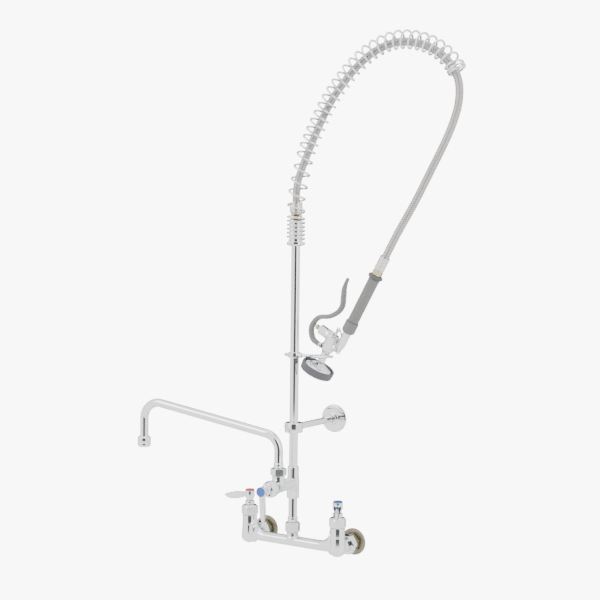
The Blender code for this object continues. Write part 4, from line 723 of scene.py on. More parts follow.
def build_column():
    """Swivel nut, lower nipple and riser pipe."""
    cut = dome_cut(0.0098, 0.0157, 0.0052)
    stops = [0.0098, 0.0108, 0.0117, 0.0126]
    nut = hexagon(0.0270, SWIVEL_Z0, 0.0380, 0.0065, cut, cut, stops, 20)
    emit("swivel_nut", [nut], COLUMN, "faucet", ["centre_swivel_nut"], "nickel", 24.0)
    top = ADF_Z0 + 0.0115
    ring = NIPPLE_Z0 + 0.009
    outline = [(PIPE_R, top), (PIPE_R, ring), (0.0100, ring), (0.0100, NIPPLE_Z0)]
    outline += [(0.00625, NIPPLE_Z0), (0.00625, top)]
    shell = lathe(fillet(outline, 0.0010, closed=True), 64, ring=True)
    emit("nipple_tube", [shell], COLUMN, "faucet", ["lower_nipple"], "chrome")
    low = ADF_Z1 - 0.0115
    shell = collar(PIPE_R, 0.00625, low, RISER_TOP + 0.0115, 0.0005, 72)
    emit("riser_tube", [shell], COLUMN, "faucet", ["riser_pipe"], "chrome")


def build_adf():
    """The add-on faucet's casting, its bonnet and the nozzle's nut."""
    stem = [(0, ADF_Z1), (0.0112, ADF_Z1), (0.0112, 0.1290), (0.0122, 0.1148)]
    stem += [(0.0122, ADF_Z0), (0, ADF_Z0)]
    shells = [moved(lathe(fillet(stem, 0.0022, 6), 72), COLUMN)]
    barrel = [(0, 0.092), (0.0130, 0.092), (0.0140, 0.088), (0.0162, 0.084), (0.0162, 0.076)]
    barrel += [(0.0137, 0.068), (0.0115, 0.056), (0.0115, 0), (0, 0)]
    shells.append(moved(lathe(fillet(barrel, 0.0026, 6), 72), ADF_FRONT))
    hub = [(0, SOCKET_TOP), (0.0122, SOCKET_TOP), (0.0122, BARREL_Z - 0.003), (0, BARREL_Z - 0.009)]
    shells.append(moved(lathe(fillet(hub, 0.0016), 64), at(0, RISER_Y - NOZZLE_AT, 0)))
    emit("adf_casting", shells, Matrix(), "faucet", ["adf_body"], "chrome", 40.0)
    nut = plain_nut(0.0190, 0.0923, 0.1033, 0.0043, 0)
    emit("adf_bonnet_nut", [nut], ADF_FRONT, "faucet", ["adf_bonnet"], "chrome")
    low = SOCKET_TOP + GAP
    cut = dome_cut(0.0110, 0.0163, 0.0034)
    nut = hexagon(0.0280, low, low + 0.0143, 0.0088, cut, cut, (0.0110, 0.0122, 0.0132), 10)
    seat = at(0, RISER_Y - NOZZLE_AT, 0)
    emit("nozzle_hex", [nut], seat, "faucet", ["nozzle_nut"], "chrome", 24.0)


def build_adf_handle():
    """The add-on faucet's hanging handle and its index disc."""
    low = 0.1036
    high = low + 0.0095
    outline = [(0, high), (0.0094, high), (0.0094, low), (0, low)]
    shells = [lathe(fillet(outline, 0.0011), 64)]
    hang = at(0, 0, low + 0.00475, turn=-90)
    shells.append(moved(blade(0.060, 0.0112, 0.0118, 0.0030), hang))
    emit("adf_handle_arm", shells, ADF_FRONT, "adf_handle", ["adf_lever"], "chrome")
    build_index("adf", ADF_FRONT, high + GAP, "blue")


def build_nozzle():
    """The swing nozzle's bent tube and its outlet."""
    bend = 0.033
    slope = math.degrees(math.atan2(0.259 - 0.216, NOZZLE_REACH - 2 * bend))
    lift = bend * math.cos(math.radians(slope))
    low = SOCKET_TOP + GAP + 0.0143 + GAP
    route = [Vector((0, 0, SOCKET_TOP - 0.0117))]
    radii = [NOZZLE_R]
    for height, radius in (
        (low - 0.0002, NOZZLE_R),
        (low, 0.0090),
        (low + 0.0006, 0.0096),
        (low + 0.0084, 0.0096),
        (low + 0.0090, 0.0090),
        (low + 0.0100, NOZZLE_R),
    ):
        route.append(Vector((0, 0, height)))
        radii.append(radius)
    across, up = (1, 0, 0), (0, 0, 1)
    route += arc((bend, 0, 0.216 - lift), 180, 90 + slope, bend, across, up, 24)
    route += arc((NOZZLE_REACH - bend, 0, 0.259 - lift), 90 + slope, 0, bend, across, up, 32)
    route.append(Vector((NOZZLE_REACH, 0, 0.1755)))
    radii += [NOZZLE_R] * (len(route) - len(radii))
    shell = sweep(route, radii, 48)
    emit("nozzle_tube", [shell], NOZZLE, "nozzle", ["swing_nozzle"], "chrome", 50.0)
    top = 0.190
    low = top - 0.0215
    outline = [(0.0088, top), (0.0108, top), (0.0133, top - 0.003), (0.0133, low + 0.0085)]
    outline += [(0.0129, low + 0.0082), (0.0129, low + 0.0074), (0.0133, low + 0.0071)]
    outline += [(0.0133, low + 0.0030), (0.0113, low), (0.0090, low), (0.0090, low + 0.0022)]
    outline += [(0.0040, low + 0.0022), (0.0040, low + 0.0030), (0.0088, low + 0.0030)]
    shell = lathe(fillet(outline, 0.0006, 3, closed=True), 64, ring=True)
    screen = [collar(r, r - 0.0006, low + 0.0016, low + 0.0026, 0.0001, 32) for r in (0.0038, 0.0022)]
    spot = NOZZLE @ at(NOZZLE_REACH, 0, 0)
    emit("nozzle_outlet", [shell] + screen, spot, "nozzle", ["nozzle_tip"], "chrome")


# ---------------------------------------------------------------- bracket and hook


def screw(head_r, head, shank_r, shank):
    """A pan head screw along Z with a slot, its head's underside at zero."""
    outline = [(0, head), (head_r * 0.72, head * 0.95), (head_r, head * 0.45), (head_r, 0)]
    outline += [(shank_r, 0), (shank_r, -shank), (0, -shank)]
    shell = lathe(fillet(outline, 0.0005, 3), 40)
    return slotted(shell, head_r * 0.12, head_r * 1.2, head, head * 0.42)


def build_bracket():
    """Collar, set screws, rod and wall disc of the bracket."""
    ring = collar(0.0178, PIPE_R + GAP, -0.0101, 0.0101, 0.0030, 72)
    emit("bracket_ring", [ring], BRACKET, "faucet", ["bracket_collar"], "chrome")
    for name, place in (
        ("bracket_screw_left", at(-0.0181, RISER_Y, BRACKET_Z, tilt_y=-90)),
        ("bracket_screw_front", at(0, RISER_Y - 0.0181, BRACKET_Z, tilt_x=90)),
    ):
        shell = screw(0.0040, 0.0028, 0.0024, 0.0083)
        emit(name + "_head", [shell], place, "faucet", [name], "chrome")
    back = BRACKET @ at(0, 0, 0, tilt_x=-90)
    bar = cylinder(0.0067, 0.0126, 0.1577, 0.0005, 48)
    emit("bracket_bar", [bar], back, "faucet", ["bracket_rod"], "chrome")
    front = 0.153
    outline = [(0.0290, 0.158), (0.0290, front + 0.0025), (0.0262, front + 0.0004)]
    outline += [(0.0200, front), (0.0120, front), (0.0110, front - 0.0012)]
    outline += [(0.0110, front - 0.010), (0.0070, front - 0.010), (0.0070, 0.158)]
    disc = lathe(fillet(outline, 0.0009, closed=True), 96, ring=True)
    emit("bracket_disc", [disc], back, "faucet", ["bracket_flange"], "chrome")
    for name, side in (("flange_screw_left", -1), ("flange_screw_right", 1)):
        shell = screw(0.0046, 0.0026, 0.0024, 0.0047)
        spot = at(side * 0.0195, RISER_Y + front - GAP, BRACKET_Z, tilt_x=90, turn=0)
        emit(name + "_head", [shell], spot, "faucet", [name], "steel")


def build_hook():
    """The clamp on the riser, its screw and the fork that holds the spray valve."""
    shells = [collar(0.0120, PIPE_R + GAP, -0.0055, 0.0055, 0.0014, 64)]
    for tilt, end in ((-90, 0.0138), (90, 0.0170)):
        boss = cylinder(0.0048, 0.0095, end, 0.0008, 40)
        shells.append(moved(boss, at(0, 0, 0, tilt_y=tilt)))
    emit("hook_band", shells, HOOK, "faucet", ["hook_clamp"], "chrome")
    shell = screw(0.0036, 0.0090, 0.0022, 0.0042)
    spot = at(-0.0141, RISER_Y, HOOK_Z, tilt_y=-90)
    emit("hook_screw", [shell], spot, "faucet", ["hook_clamp_screw"], "steel")
    wide = 0.0118
    bend = arc((0.052, 0, 0), 90, 270, wide, (1, 0, 0), (0, 1, 0), 32)
    fork = [Vector((0.0785, wide, 0))] + bend + [Vector((0.0785, -wide, 0))]
    radii = [0.003] * len(fork)
    for ends, outward in ((0, 1), (-1, -1)):
        for ahead, radius in ((0.0010, 0.0025), (0.0015, 0.0014)):
            tip = Vector((0.0785 + ahead, wide * outward, 0))
            fork.insert(0 if ends == 0 else len(fork), tip)
            radii.insert(0 if ends == 0 else len(radii), radius)
    shells = [sweep(fork, radii, 24), sweep([(0.0112, 0, 0), (0.0412, 0, 0)], 0.00305, 24)]
    emit("hook_fork", shells, HOOK, "faucet", ["finger_hook"], "chrome")


# ---------------------------------------------------------------- spring and hose


def hose_line():
    """The hose's centre as fine points, between its two ferrules."""
    tilt = SPRAY_TILT
    along = Vector((math.sin(tilt), 0, math.cos(tilt)))
    aside = Vector((math.cos(tilt), 0, -math.sin(tilt)))
    end = Vector((SPRAY_AT.x, 0, SPRAY_AT.z)) + aside * GRIP_X + along * (UPPER_TOP + GAP)
    start = Vector((0, 0, FITTING_Z1 + GAP))
    middle = [Vector((x, 0, z)) for x, z in HOSE_ROUTE]
    return smooth_route([start] + middle + [end + along * 0.014, end])


def spring_centre():
    """The spring's own centre line: the riser's axis, then beside the hose."""
    hose = hose_line()
    line = [Vector((0, 0, RISER_TOP + 0.0077 + 0.0021 + 3 * GAP))]
    height = line[0].z + 0.004
    while height < hose[0].z - 0.004:
        line.append(Vector((0, 0, height)))
        height += 0.004
    run = 0.0
    for i, point in enumerate(hose):
        before = hose[max(i - 1, 0)]
        after = hose[min(i + 1, len(hose) - 1)]
        run += (point - before).length
        along = (after - before).normalized()
        outward = Vector((-along.z, 0, along.x))
        change = SPRING_OFFSET_HIGH - SPRING_OFFSET_LOW
        offset = SPRING_OFFSET_LOW * ease_in(run / 0.035)
        offset += change * ease_in((run - 0.035) / 0.075)
        line.append(point + outward * offset)
    return line


def spring_reach(line, lengths):
    """The distance to where the spring lets go of the hose, past the arch."""
    highest = max(range(len(line)), key=lambda i: line[i].z)
    for i in range(highest, len(line)):
        if line[i].z < line[highest].z - SPRING_END_DROP:
            return lengths[i]
    return lengths[-1]


def build_spring(settings):
    """The seat on the riser's top and the overhead spring."""
    base = RISER_TOP
    outline = [(0.0126, SEAT_TOP), (0.0126, base + 0.0077), (0.0177, base + 0.0077)]
    outline += [(0.0177, base + 0.002), (0.0116, base), (PIPE_R + GAP, base)]
    outline += [(PIPE_R + GAP, base + 0.0118), (0.00625, base + 0.0118), (0.00625, SEAT_TOP)]
    seat = lathe(fillet(outline, 0.0009, closed=True), 72, ring=True)
    emit("seat_adapter", [seat], COLUMN, "faucet", ["spring_seat"], "chrome")
    line = spring_centre()
    lengths = lengths_of(line)
    total = spring_reach(line, lengths)
    close = CLOSE_TURNS * CLOSE_PITCH
    opened = OPEN_TURNS * OPEN_PITCH
    ending = END_TURNS * END_PITCH
    rest = SPRING_TURNS - CLOSE_TURNS - OPEN_TURNS - END_TURNS
    side = Vector((0, 1, 0))
    per_turn = settings.points_per_turn
    coil = []
    for i in range(SPRING_TURNS * per_turn + 1):
        turns = i / per_turn
        distance = min(turns, CLOSE_TURNS) * CLOSE_PITCH
        if turns > CLOSE_TURNS:
            distance = close + min(turns - CLOSE_TURNS, OPEN_TURNS) * OPEN_PITCH
        if turns > CLOSE_TURNS + OPEN_TURNS:
            share = (turns - CLOSE_TURNS - OPEN_TURNS) / rest
            distance = close + opened + (total - close - opened - ending) * share
        if turns >= SPRING_TURNS - END_TURNS:
            distance = total - (SPRING_TURNS - turns) * END_PITCH
        centre, along = point_at(line, lengths, distance)
        across = along.cross(side).normalized()
        angle = 2 * math.pi * turns
        spoke = across * math.cos(angle) + side * math.sin(angle)
        coil.append(centre + spoke * SPRING_R)
    shell = sweep(coil, 0.0021, 14)
    emit("spring_coil", [shell], COLUMN, "faucet", ["overhead_spring"], "chrome", 60.0)


def hose_shell(line, lengths, start, end, settings):
    """A ribbed hose between two distances along its line."""
    pitch = settings.rib_pitch
    count = round((end - start) / pitch) * 6
    route = []
    radii = []
    for i in range(count + 1):
        distance = start + (end - start) * i / count
        wave = 0.5 + 0.5 * math.cos(2 * math.pi * distance / pitch)
        route.append(point_at(line, lengths, distance)[0])
        radii.append(0.0067 + 0.0011 * wave**0.7)
    return sweep(route, radii, 20)


def build_hose(settings):
    """The hose, in the stretch that the spring holds and the one that hangs free."""
    line = hose_line()
    line = [COLUMN @ point for point in line]
    lengths = lengths_of(line)
    highest = max(range(len(line)), key=lambda i: line[i].z)
    seam = next(i for i in range(highest, len(line)) if line[i].z < line[highest].z - SEAM_DROP)
    cut = lengths[seam]
    total = lengths[-1]
    low = [(0, FITTING_Z0 + 0.012), (0.0095, FITTING_Z0 + 0.012)]
    low += [(0.0105, FITTING_Z0 + 0.0145), (0.0125, FITTING_Z0 + 0.0165)]
    low += [(0.0125, FITTING_Z1 - 0.006), (0.0118, FITTING_Z1 - 0.0055)]
    low += [(0.0118, FITTING_Z1 - 0.0045), (0.0125, FITTING_Z1 - 0.004)]
    low += [(0.0125, FITTING_Z1), (0.0085, FITTING_Z1), (0, FITTING_Z1 - 0.002)]
    cuff = lathe(fillet(low, 0.0007, 3), 56)
    nut = plain_nut(0.0210, FITTING_Z0, FITTING_Z0 + 0.0118, 0.005, 5)
    emit("lower_hex", [nut], COLUMN, "faucet", ["lower_hose_fitting"], "brass")
    lower = emit("lower_ferrule", [cuff], COLUMN, "faucet", ["lower_hose_fitting"], "nickel")
    held = hose_shell(line, lengths, 0.0, cut, settings)
    held = emit("hose_in_spring", [held], Matrix(), "faucet", ["flex_hose"], "braid", 60.0)
    upper = upper_fitting()
    free = hose_shell(line, lengths, cut, total, settings)
    free = emit("hose_free", [free], Matrix(), None, ["flex_hose"], "braid", 60.0)
    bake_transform(free)


def upper_fitting():
    """The hexagon and ferrule that join the hose to the grip."""
    nut = plain_nut(0.0180, RING_TOP + GAP, UPPER_HEX_TOP + GAP, 0.005, 10)
    low = UPPER_HEX_TOP
    outline = [(0, low), (0.0085, low), (0.0085, low + 0.0015), (0.0098, low + 0.003)]
    for share in (0.35, 0.62):
        spot = low + 0.029 * share
        outline += [(0.0098, spot), (0.0092, spot + 0.0006), (0.0092, spot + 0.0014)]
        outline += [(0.0098, spot + 0.0020)]
    outline += [(0.0098, UPPER_TOP), (0.0083, UPPER_TOP), (0, UPPER_TOP - 0.002)]
    cuff = lathe(fillet(outline, 0.0006, 3), 48)
    emit("upper_hex", [nut], GRIP, "spray_valve", ["upper_hose_fitting"], "brass")
    return emit("upper_ferrule", [cuff], GRIP, "spray_valve", ["upper_hose_fitting"], "nickel")


# ---------------------------------------------------------------- spray valve


def box_shell(low, high, ease=0.0006):
    """A box along Z with its upright edges eased."""
    x = (low[0] + high[0]) / 2
    y = (low[1] + high[1]) / 2
    wide, deep = (high[0] - low[0]) / 2, (high[1] - low[1]) / 2
    corners = [(x - wide, y - deep), (x + wide, y - deep), (x + wide, y + deep), (x - wide, y + deep)]
    flat = fillet(corners, ease, 3, closed=True)
    return loft([[(px, py, z) for px, py in flat] for z in (low[2], high[2])])


def build_spray_body():
    """The spray valve's casting, with its elbow, pin ears and ring eye."""
    barrel = [(0, 0.014), (0.0122, 0.014), (0.0122, -0.019), (0.0085, -0.0245), (0.0070, -0.029)]
    barrel += [(0.0070, -0.0475), (0, -0.0475)]
    shells = [moved(lathe(fillet(barrel, 0.0042, 8), 64), HEAD)]
    side = [(0, 0), (0.0100, 0), (0.0100, 0.0160), (0.0060, 0.0160), (0, 0.0160)]
    side = list(reversed(fillet(side, 0.0012)))
    shells.append(moved(lathe(side, 56), HEAD @ at(0, 0, BONNET_Z, tilt_y=-90)))
    corners = [(HEAD_X, 0, -0.0030), (0.0135, 0, -0.0068), (0.0210, 0, -0.0035)]
    corners += [(GRIP_X, 0, 0.0070), (GRIP_X, 0, SLEEVE_LOW - GAP)]
    shells.append(moved(sweep(smooth_route(corners, 10), 0.0080, 40), SPRAY))
    inner = 0.0043
    outer = inner + 0.0035
    for sign in (-1, 1):
        low, high = sorted((sign * inner, sign * outer))
        ear = moved(cylinder(0.0055, low, high, 0.0006, 40), at(PIN_X, 0, PIN_Z, tilt_x=-90))
        web = box_shell((PIN_X, low, PIN_Z - 0.0035), (HEAD_X - 0.002, high, PIN_Z + 0.005))
        pin = cylinder(0.0026, min(low, high), max(low, high), 0.0004, 24)
        cap = moved(pin, at(PIN_X, sign * 0.0012, PIN_Z, tilt_x=-90))
        shells += [moved(part, SPRAY) for part in (ear, web, cap)]
    eye = sweep(arc((0, 0, 0), 0, 352.5, 0.0035, (1, 0, 0), (0, 1, 0), 47), 0.0012, 16, True)
    shells.append(moved(eye, SPRAY @ at(EYE_X, 0, EYE_Z, tilt_x=90)))
    post = box_shell((0.0030, -0.0015, 0.004), (0.0070, 0.0015, 0.0246), 0.0006)
    shells.append(moved(post, SPRAY))
    emit("spray_casting", shells, Matrix(), "spray_valve", ["spray_body"], "chrome", 40.0)
    nut = plain_nut(0.0175, 0.0136, 0.0301, 0.0025, 0)
    emit("spray_bonnet_nut", [nut], SIDEWAYS, "spray_valve", ["spray_bonnet"], "chrome")
    low = 0.0351
    outline = [(0, 0.0428), (0.0028, 0.0428), (0.0028, low + 0.0042), (0.0050, low + 0.0042)]
    outline += [(0.0050, low), (0.0022, low), (0.0022, 0.004), (0, 0.004)]
    stem = lathe(fillet(outline, 0.0006), 36)
    emit("push_rod", [stem], SIDEWAYS, "push_stem", ["spray_stem"], "brass")


def build_head():
    """Dome, rubber bumper and spray face."""
    low = HEAD_Z - BUMPER_HALF
    high = HEAD_Z + BUMPER_HALF
    neck = high + 0.0085
    outline = [(0.0075, neck - GAP), (0.0105, neck - 0.002), (0.0174, high + 0.0035)]
    outline += [(0.0246, high + 0.0005), (0.0280, high - 0.003), (0.0280, high - 0.006)]
    outline += [(0.0250, high - 0.006), (0.0168, high - 0.0005), (0.0042, neck - 0.004)]
    outline += [(0.0042, neck - GAP)]
    dome = lathe(fillet(outline, 0.0035, 6, closed=True), 96, ring=True)
    emit("dome_cap", [dome], HEAD, "spray_valve", ["head_dome"], "chrome")
    outline = [(0.0332, high), (0.0332, high - 0.006), (0.0326, low + 0.0055), (0.0322, low)]
    outline += [(0.0285, low), (0.0285, high)]
    bumper = lathe(fillet(outline, 0.0030, 6, closed=True), 96, ring=True)
    emit("bumper_ring", [bumper], HEAD, "spray_valve", ["bumper"], "bumper")
    face_low = low + 0.002
    face = cylinder(0.0282, face_low, face_low + 0.004, 0.0008, 72)
    holes = []
    for ring, count in ((0.017, 6), (0.0085, 3)):
        for i in range(count):
            angle = 2 * math.pi * i / count + 0.1
            spot = at(ring * math.cos(angle), ring * math.sin(angle), 0)
            holes.append(moved(cylinder(0.0016, face_low - 0.002, face_low + 0.0025, 0.0001, 16), spot))
    emit("face_plate", [carved(face, holes)], HEAD, "spray_valve", ["spray_face"], "steel")


def lever_sections():
    """Sections of the spray lever from its pin to its tip."""
    path = [
        (-0.0130, 0, -0.0195),
        (-0.0230, 0, -0.0195),
        (-0.0345, 0, -0.0175),
        (-0.0448, 0, -0.0070),
        (-0.0490, 0, 0.0070),
        (-0.0432, 0, 0.0255),
        (-0.0250, 0, 0.0385),
        (-0.0130, 0, 0.0540),
        (-0.0095, 0, 0.0700),
        (-0.0160, 0, 0.0870),
        (-0.0230, 0, 0.1040),
        (-0.0250, 0, 0.1220),
    ]
    route = smooth_route(path, 8)
    last = len(route) - 1
    sections = []
    for i, point in enumerate(route):
        along = (route[min(i + 1, last)] - route[max(i - 1, 0)]).normalized()
        across = Vector((along.z, 0, -along.x))
        share = i / last
        wide = 0.0080 + 0.0060 * ease_in(share * 6)
        thin = 1.0 - 0.35 * ease_in((share - 0.85) / 0.15)
        wide *= thin * (1.0 - 0.15 * ease_in((share - 0.8) / 0.2))
        half = 0.0046 * thin
        sections.append(oval(point, (0, 1, 0), across, wide / 2, half, 2.7, 28))
    tip = sections[-1]
    middle = sum(tip, Vector()) / len(tip)
    ahead = (route[-1] - route[-3]).normalized()
    for shrink, step in ((0.85, 0.0006), (0.5, 0.0011)):
        sections.append([middle + (p - middle) * shrink + ahead * step for p in tip])
    return sections


def build_spray_lever():
    """The squeeze lever with the boss on its pin."""
    boss = moved(cylinder(0.0050, -0.004, 0.004, 0.0005, 40), at(PIN_X, 0, PIN_Z, tilt_x=90))
    shells = [loft(lever_sections()), boss]
    emit("squeeze_bar", shells, SPRAY, "squeeze_lever", ["spray_lever"], "lever", 50.0)


def build_grip():
    """Sleeve, grip and ring up the handle's axis."""
    low, high = SLEEVE_LOW, SLEEVE_TOP
    outline = [(0.0070, high), (0.0132, high), (0.0132, low + 0.003), (0.0102, low)]
    outline += [(0.0070, low)]
    ways = [math.radians(36 * i) for i in range(10)]
    sections = []
    for radius, height in fillet(outline, 0.0010):
        corners = [(radius * math.cos(way), radius * math.sin(way)) for way in ways]
        sections.append([(x, y, height) for x, y in fillet(corners, 0.0014, 3, closed=True)])
    place = GRIP @ at(0, 0, 0, turn=18)
    emit("sleeve_cuff", [loft(sections)], place, "spray_valve", ["grip_sleeve"], "grip", 26.0)
    low, high = SLEEVE_TOP + GAP, GRIP_TOP
    outline = [(0.006, high), (0.0110, high), (0.0110, high - 0.004), (0.01075, high - 0.006)]
    outline += [(0.01075, low + 0.006), (0.0110, low + 0.004), (0.0110, low), (0.006, low)]
    shell = lathe(fillet(outline, 0.0010, closed=True), 64, ring=True)
    emit("grip_tube", [shell], GRIP, "spray_valve", ["spray_grip"], "grip")
    low, high = GRIP_TOP + GAP, RING_TOP
    ring = [(0.0120, high), (0.0145, high - 0.0028), (0.0145, low + 0.0016), (0.0125, low)]
    ring += [(0.006, low), (0.006, high)]
    shell = lathe(fillet(ring, 0.0016, closed=True), 64, ring=True)
    emit("stop_ring", [shell], GRIP, "spray_valve", ["grip_ring"], "bumper")


def build_hold_ring():
    """The wire ring that hangs from the spray valve's eye."""
    radius = RING_WIDTH / 2 - RING_WIRE_R
    straight = RING_LENGTH - 2 * RING_WIRE_R - 2 * radius
    top = arc((0, 0, -radius), 0, 180, radius, (0, 1, 0), (0, 0, 1), 24)
    bottom = arc((0, 0, -radius - straight), 180, 360, radius, (0, 1, 0), (0, 0, 1), 24)
    loop = sweep(top + bottom, RING_WIRE_R, 16, True)
    upright = at(EYE_X, 0, EYE_Z, tilt_y=-math.degrees(SPRAY_TILT))
    place = SPRAY @ upright @ at(0, 0, -GAP)
    emit("hold_loop", [loop], place, "ring", ["hold_ring"], "steel", 60.0)


def finish_hidden():
    """Gives the pieces inside the valves their finishes."""
    for names, slot in (
        (("hot_cartridge", "cold_cartridge", "hot_stem", "cold_stem", "adf_stem"), "brass"),
        (("hot_inlet_washer", "cold_inlet_washer", "nozzle_o_ring"), "rubber"),
        (("lever_pin",), "steel"),
    ):
        for name in names:
            mesh = frame["nodes"][name].data
            mesh.materials.clear()
            mesh.materials.append(material(slot))


# ---------------------------------------------------------------- studio


def build_camera():
    """The camera, at the angle that the faucet is seen from."""
    az, pitch, roll = CAMERA_AZIMUTH, CAMERA_PITCH, CAMERA_ROLL
    up = Vector((0, 0, 1))
    ahead = Vector((-math.sin(az), math.cos(az), 0))
    right = Vector((math.cos(az), math.sin(az), 0))
    forward = ahead * math.cos(pitch) + up * math.sin(pitch)
    lifted = up * math.cos(pitch) - ahead * math.sin(pitch)
    sideways = right * math.cos(roll) + lifted * math.sin(roll)
    upright = lifted * math.cos(roll) - right * math.sin(roll)
    data = bpy.data.cameras.new("viewer")
    data.lens = CAMERA_LENS
    data.sensor_width = 36
    camera = bpy.data.objects.new("viewer", data)
    bpy.context.scene.collection.objects.link(camera)
    turn = Matrix((sideways, upright, -forward)).transposed().to_4x4()
    camera.matrix_world = Matrix.Translation(CAMERA_AT) @ turn
    bpy.context.scene.camera = camera


def build_light(name, place, target, size, power):
    """A soft square light that looks at a point."""
    data = bpy.data.lights.new(name, "AREA")
    data.shape = "RECTANGLE"
    data.size, data.size_y = size
    data.energy = power
    light = bpy.data.objects.new(name, data)
    bpy.context.scene.collection.objects.link(light)
    way = Vector(target) - Vector(place)
    light.location = place
    light.rotation_euler = way.to_track_quat("-Z", "Y").to_euler()


def build_world():
    """A pale room, plainly white behind, with dark narrow parts for gloss to pick up."""
    world = bpy.data.worlds.new("studio")
    bpy.context.scene.world = world
    world.use_nodes = True
    tree = world.node_tree
    tree.nodes.clear()
    place = node(tree, "ShaderNodeTexCoord")
    ahead = node(tree, "ShaderNodeVectorMath", operation="DOT_PRODUCT")
    ahead.inputs[1].default_value = (-math.sin(CAMERA_AZIMUTH), math.cos(CAMERA_AZIMUTH), 0)
    tree.links.new(place.outputs["Generated"], ahead.inputs[0])
    ramp = node(tree, "ShaderNodeValToRGB")
    while len(ramp.color_ramp.elements) < len(ROOM_SHADES):
        ramp.color_ramp.elements.new(0.5)
    for element, (position, shade) in zip(ramp.color_ramp.elements, ROOM_SHADES):
        element.position = position
        element.color = (shade, shade, shade * 1.01, 1)
    span = ranged(tree, ahead.outputs["Value"], (-1.0, 1.0))
    tree.links.new(span, ramp.inputs["Fac"])
    # A dark doorway behind the viewer, from a little below eye level up
    door = ranged(tree, ahead.outputs["Value"], DOOR_EDGE, smooth=True)
    parts = node(tree, "ShaderNodeSeparateXYZ")
    tree.links.new(place.outputs["Generated"], parts.inputs[0])
    sill = ranged(tree, parts.outputs["Z"], SILL_EDGE, smooth=True)
    both = node(tree, "ShaderNodeMath", operation="MULTIPLY")
    tree.links.new(door, both.inputs[0])
    tree.links.new(sill, both.inputs[1])
    shade = ranged(tree, both.outputs[0], (0.0, 1.0), (1.0, DOOR_SHADE))
    room = node(tree, "ShaderNodeBackground")
    tree.links.new(ramp.outputs["Color"], room.inputs["Color"])
    power = node(tree, "ShaderNodeMath", operation="MULTIPLY")
    power.inputs[1].default_value = ROOM_POWER
    tree.links.new(shade, power.inputs[0])
    tree.links.new(power.outputs[0], room.inputs["Strength"])
    plain = node(tree, "ShaderNodeBackground", Strength=BACKDROP_POWER)
    plain.inputs["Color"].default_value = (1, 1, 1, 1)
    path = node(tree, "ShaderNodeLightPath")
    choose = node(tree, "ShaderNodeMixShader")
    tree.links.new(path.outputs["Is Camera Ray"], choose.inputs["Fac"])
    tree.links.new(room.outputs[0], choose.inputs[1])
    tree.links.new(plain.outputs[0], choose.inputs[2])
    out = node(tree, "ShaderNodeOutputWorld")
    tree.links.new(choose.outputs[0], out.inputs["Surface"])


def build_floor():
    """A pale floor well below the faucet, which fades out to the white of the room."""
    turns = ((-1, -1), (1, -1), (1, 1), (-1, 1))
    corners = [(x * FLOOR_HALF, y * FLOOR_HALF, FLOOR_Z) for x, y in turns]
    mesh = bpy.data.meshes.new("floor")
    mesh.from_pydata(corners, [], [(0, 1, 2, 3)])
    floor = bpy.data.objects.new("floor", mesh)
    bpy.context.scene.collection.objects.link(floor)
    made = bpy.data.materials.new("floor_finish")
    made.use_nodes = True
    tree = made.node_tree
    shader = tree.nodes["Principled BSDF"]
    shader.inputs["Base Color"].default_value = (0.93, 0.93, 0.93, 1)
    shader.inputs["Roughness"].default_value = 0.8
    place = node(tree, "ShaderNodeTexCoord")
    far = node(tree, "ShaderNodeVectorMath", operation="LENGTH")
    tree.links.new(place.outputs["Object"], far.inputs[0])
    fade = ranged(tree, far.outputs["Value"], FLOOR_FADE, smooth=True)
    clear = node(tree, "ShaderNodeBsdfTransparent")
    mix = node(tree, "ShaderNodeMixShader")
    tree.links.new(fade, mix.inputs["Fac"])
    tree.links.new(shader.outputs[0], mix.inputs[1])
    tree.links.new(clear.outputs[0], mix.inputs[2])
    tree.links.new(mix.outputs[0], tree.nodes["Material Output"].inputs["Surface"])
    mesh.materials.append(made)


def build_studio(settings):
    """World, floor and soft lights."""
    build_world()
    build_floor()
    middle = (0.05, -0.06, 0.4)
    power = settings.light_power
    build_light("key", (-1.2, -2.4, 2.2), middle, (1.4, 1.8), power)
    build_light("fill", (2.6, -0.9, 1.2), middle, (0.9, 2.2), power * 0.45)
    build_light("top", (0.2, 0.3, 3.0), middle, (1.8, 1.8), power * 0.5)


# ---------------------------------------------------------------- add-on


def colour_property(slot, name):
    """A colour that a user can change, starting at the part's own."""
    return FloatVectorProperty(
        name=name,
        description="Colour of the " + name.lower(),
        subtype="COLOR",
        size=3,
        min=0.0,
        max=1.0,
        default=COLOURS[slot],
    )


class FaucetSettings(bpy.types.PropertyGroup):
    """Sizes and colours of the visible faucet."""

    points_per_turn: IntProperty(
        name="Spring points",
        description="Points round each turn of the overhead spring",
        default=24,
        min=12,
        max=48,
    )
    rib_pitch: FloatProperty(
        name="Rib pitch",
        description="Distance between the ribs of the hose",
        default=0.0042,
        min=0.002,
        unit="LENGTH",
    )
    light_power: FloatProperty(
        name="Light power",
        description="Power of the main studio light",
        default=34.0,
        min=0.0,
        unit="POWER",
    )
    chrome: colour_property("chrome", "Chrome")
    steel: colour_property("steel", "Steel")
    braid: colour_property("braid", "Hose")
    raw_brass: colour_property("raw_brass", "Raw brass")
    brass: colour_property("brass", "Brass")
    nickel: colour_property("nickel", "Nickel")
    rubber: colour_property("rubber", "Rubber")
    grip: colour_property("grip", "Grip")
    lever: colour_property("lever", "Squeeze lever")
    bumper: colour_property("bumper", "Bumper")
    red: colour_property("red", "Hot index")
    blue: colour_property("blue", "Cold index")


class FAUCET_OT_base(bpy.types.Operator):
    """Models the cast bar with its towers, spud and stubs"""

    bl_idname = "faucet.base"
    bl_label = "Base"

    def execute(self, context):
        build_base()
        return {"FINISHED"}


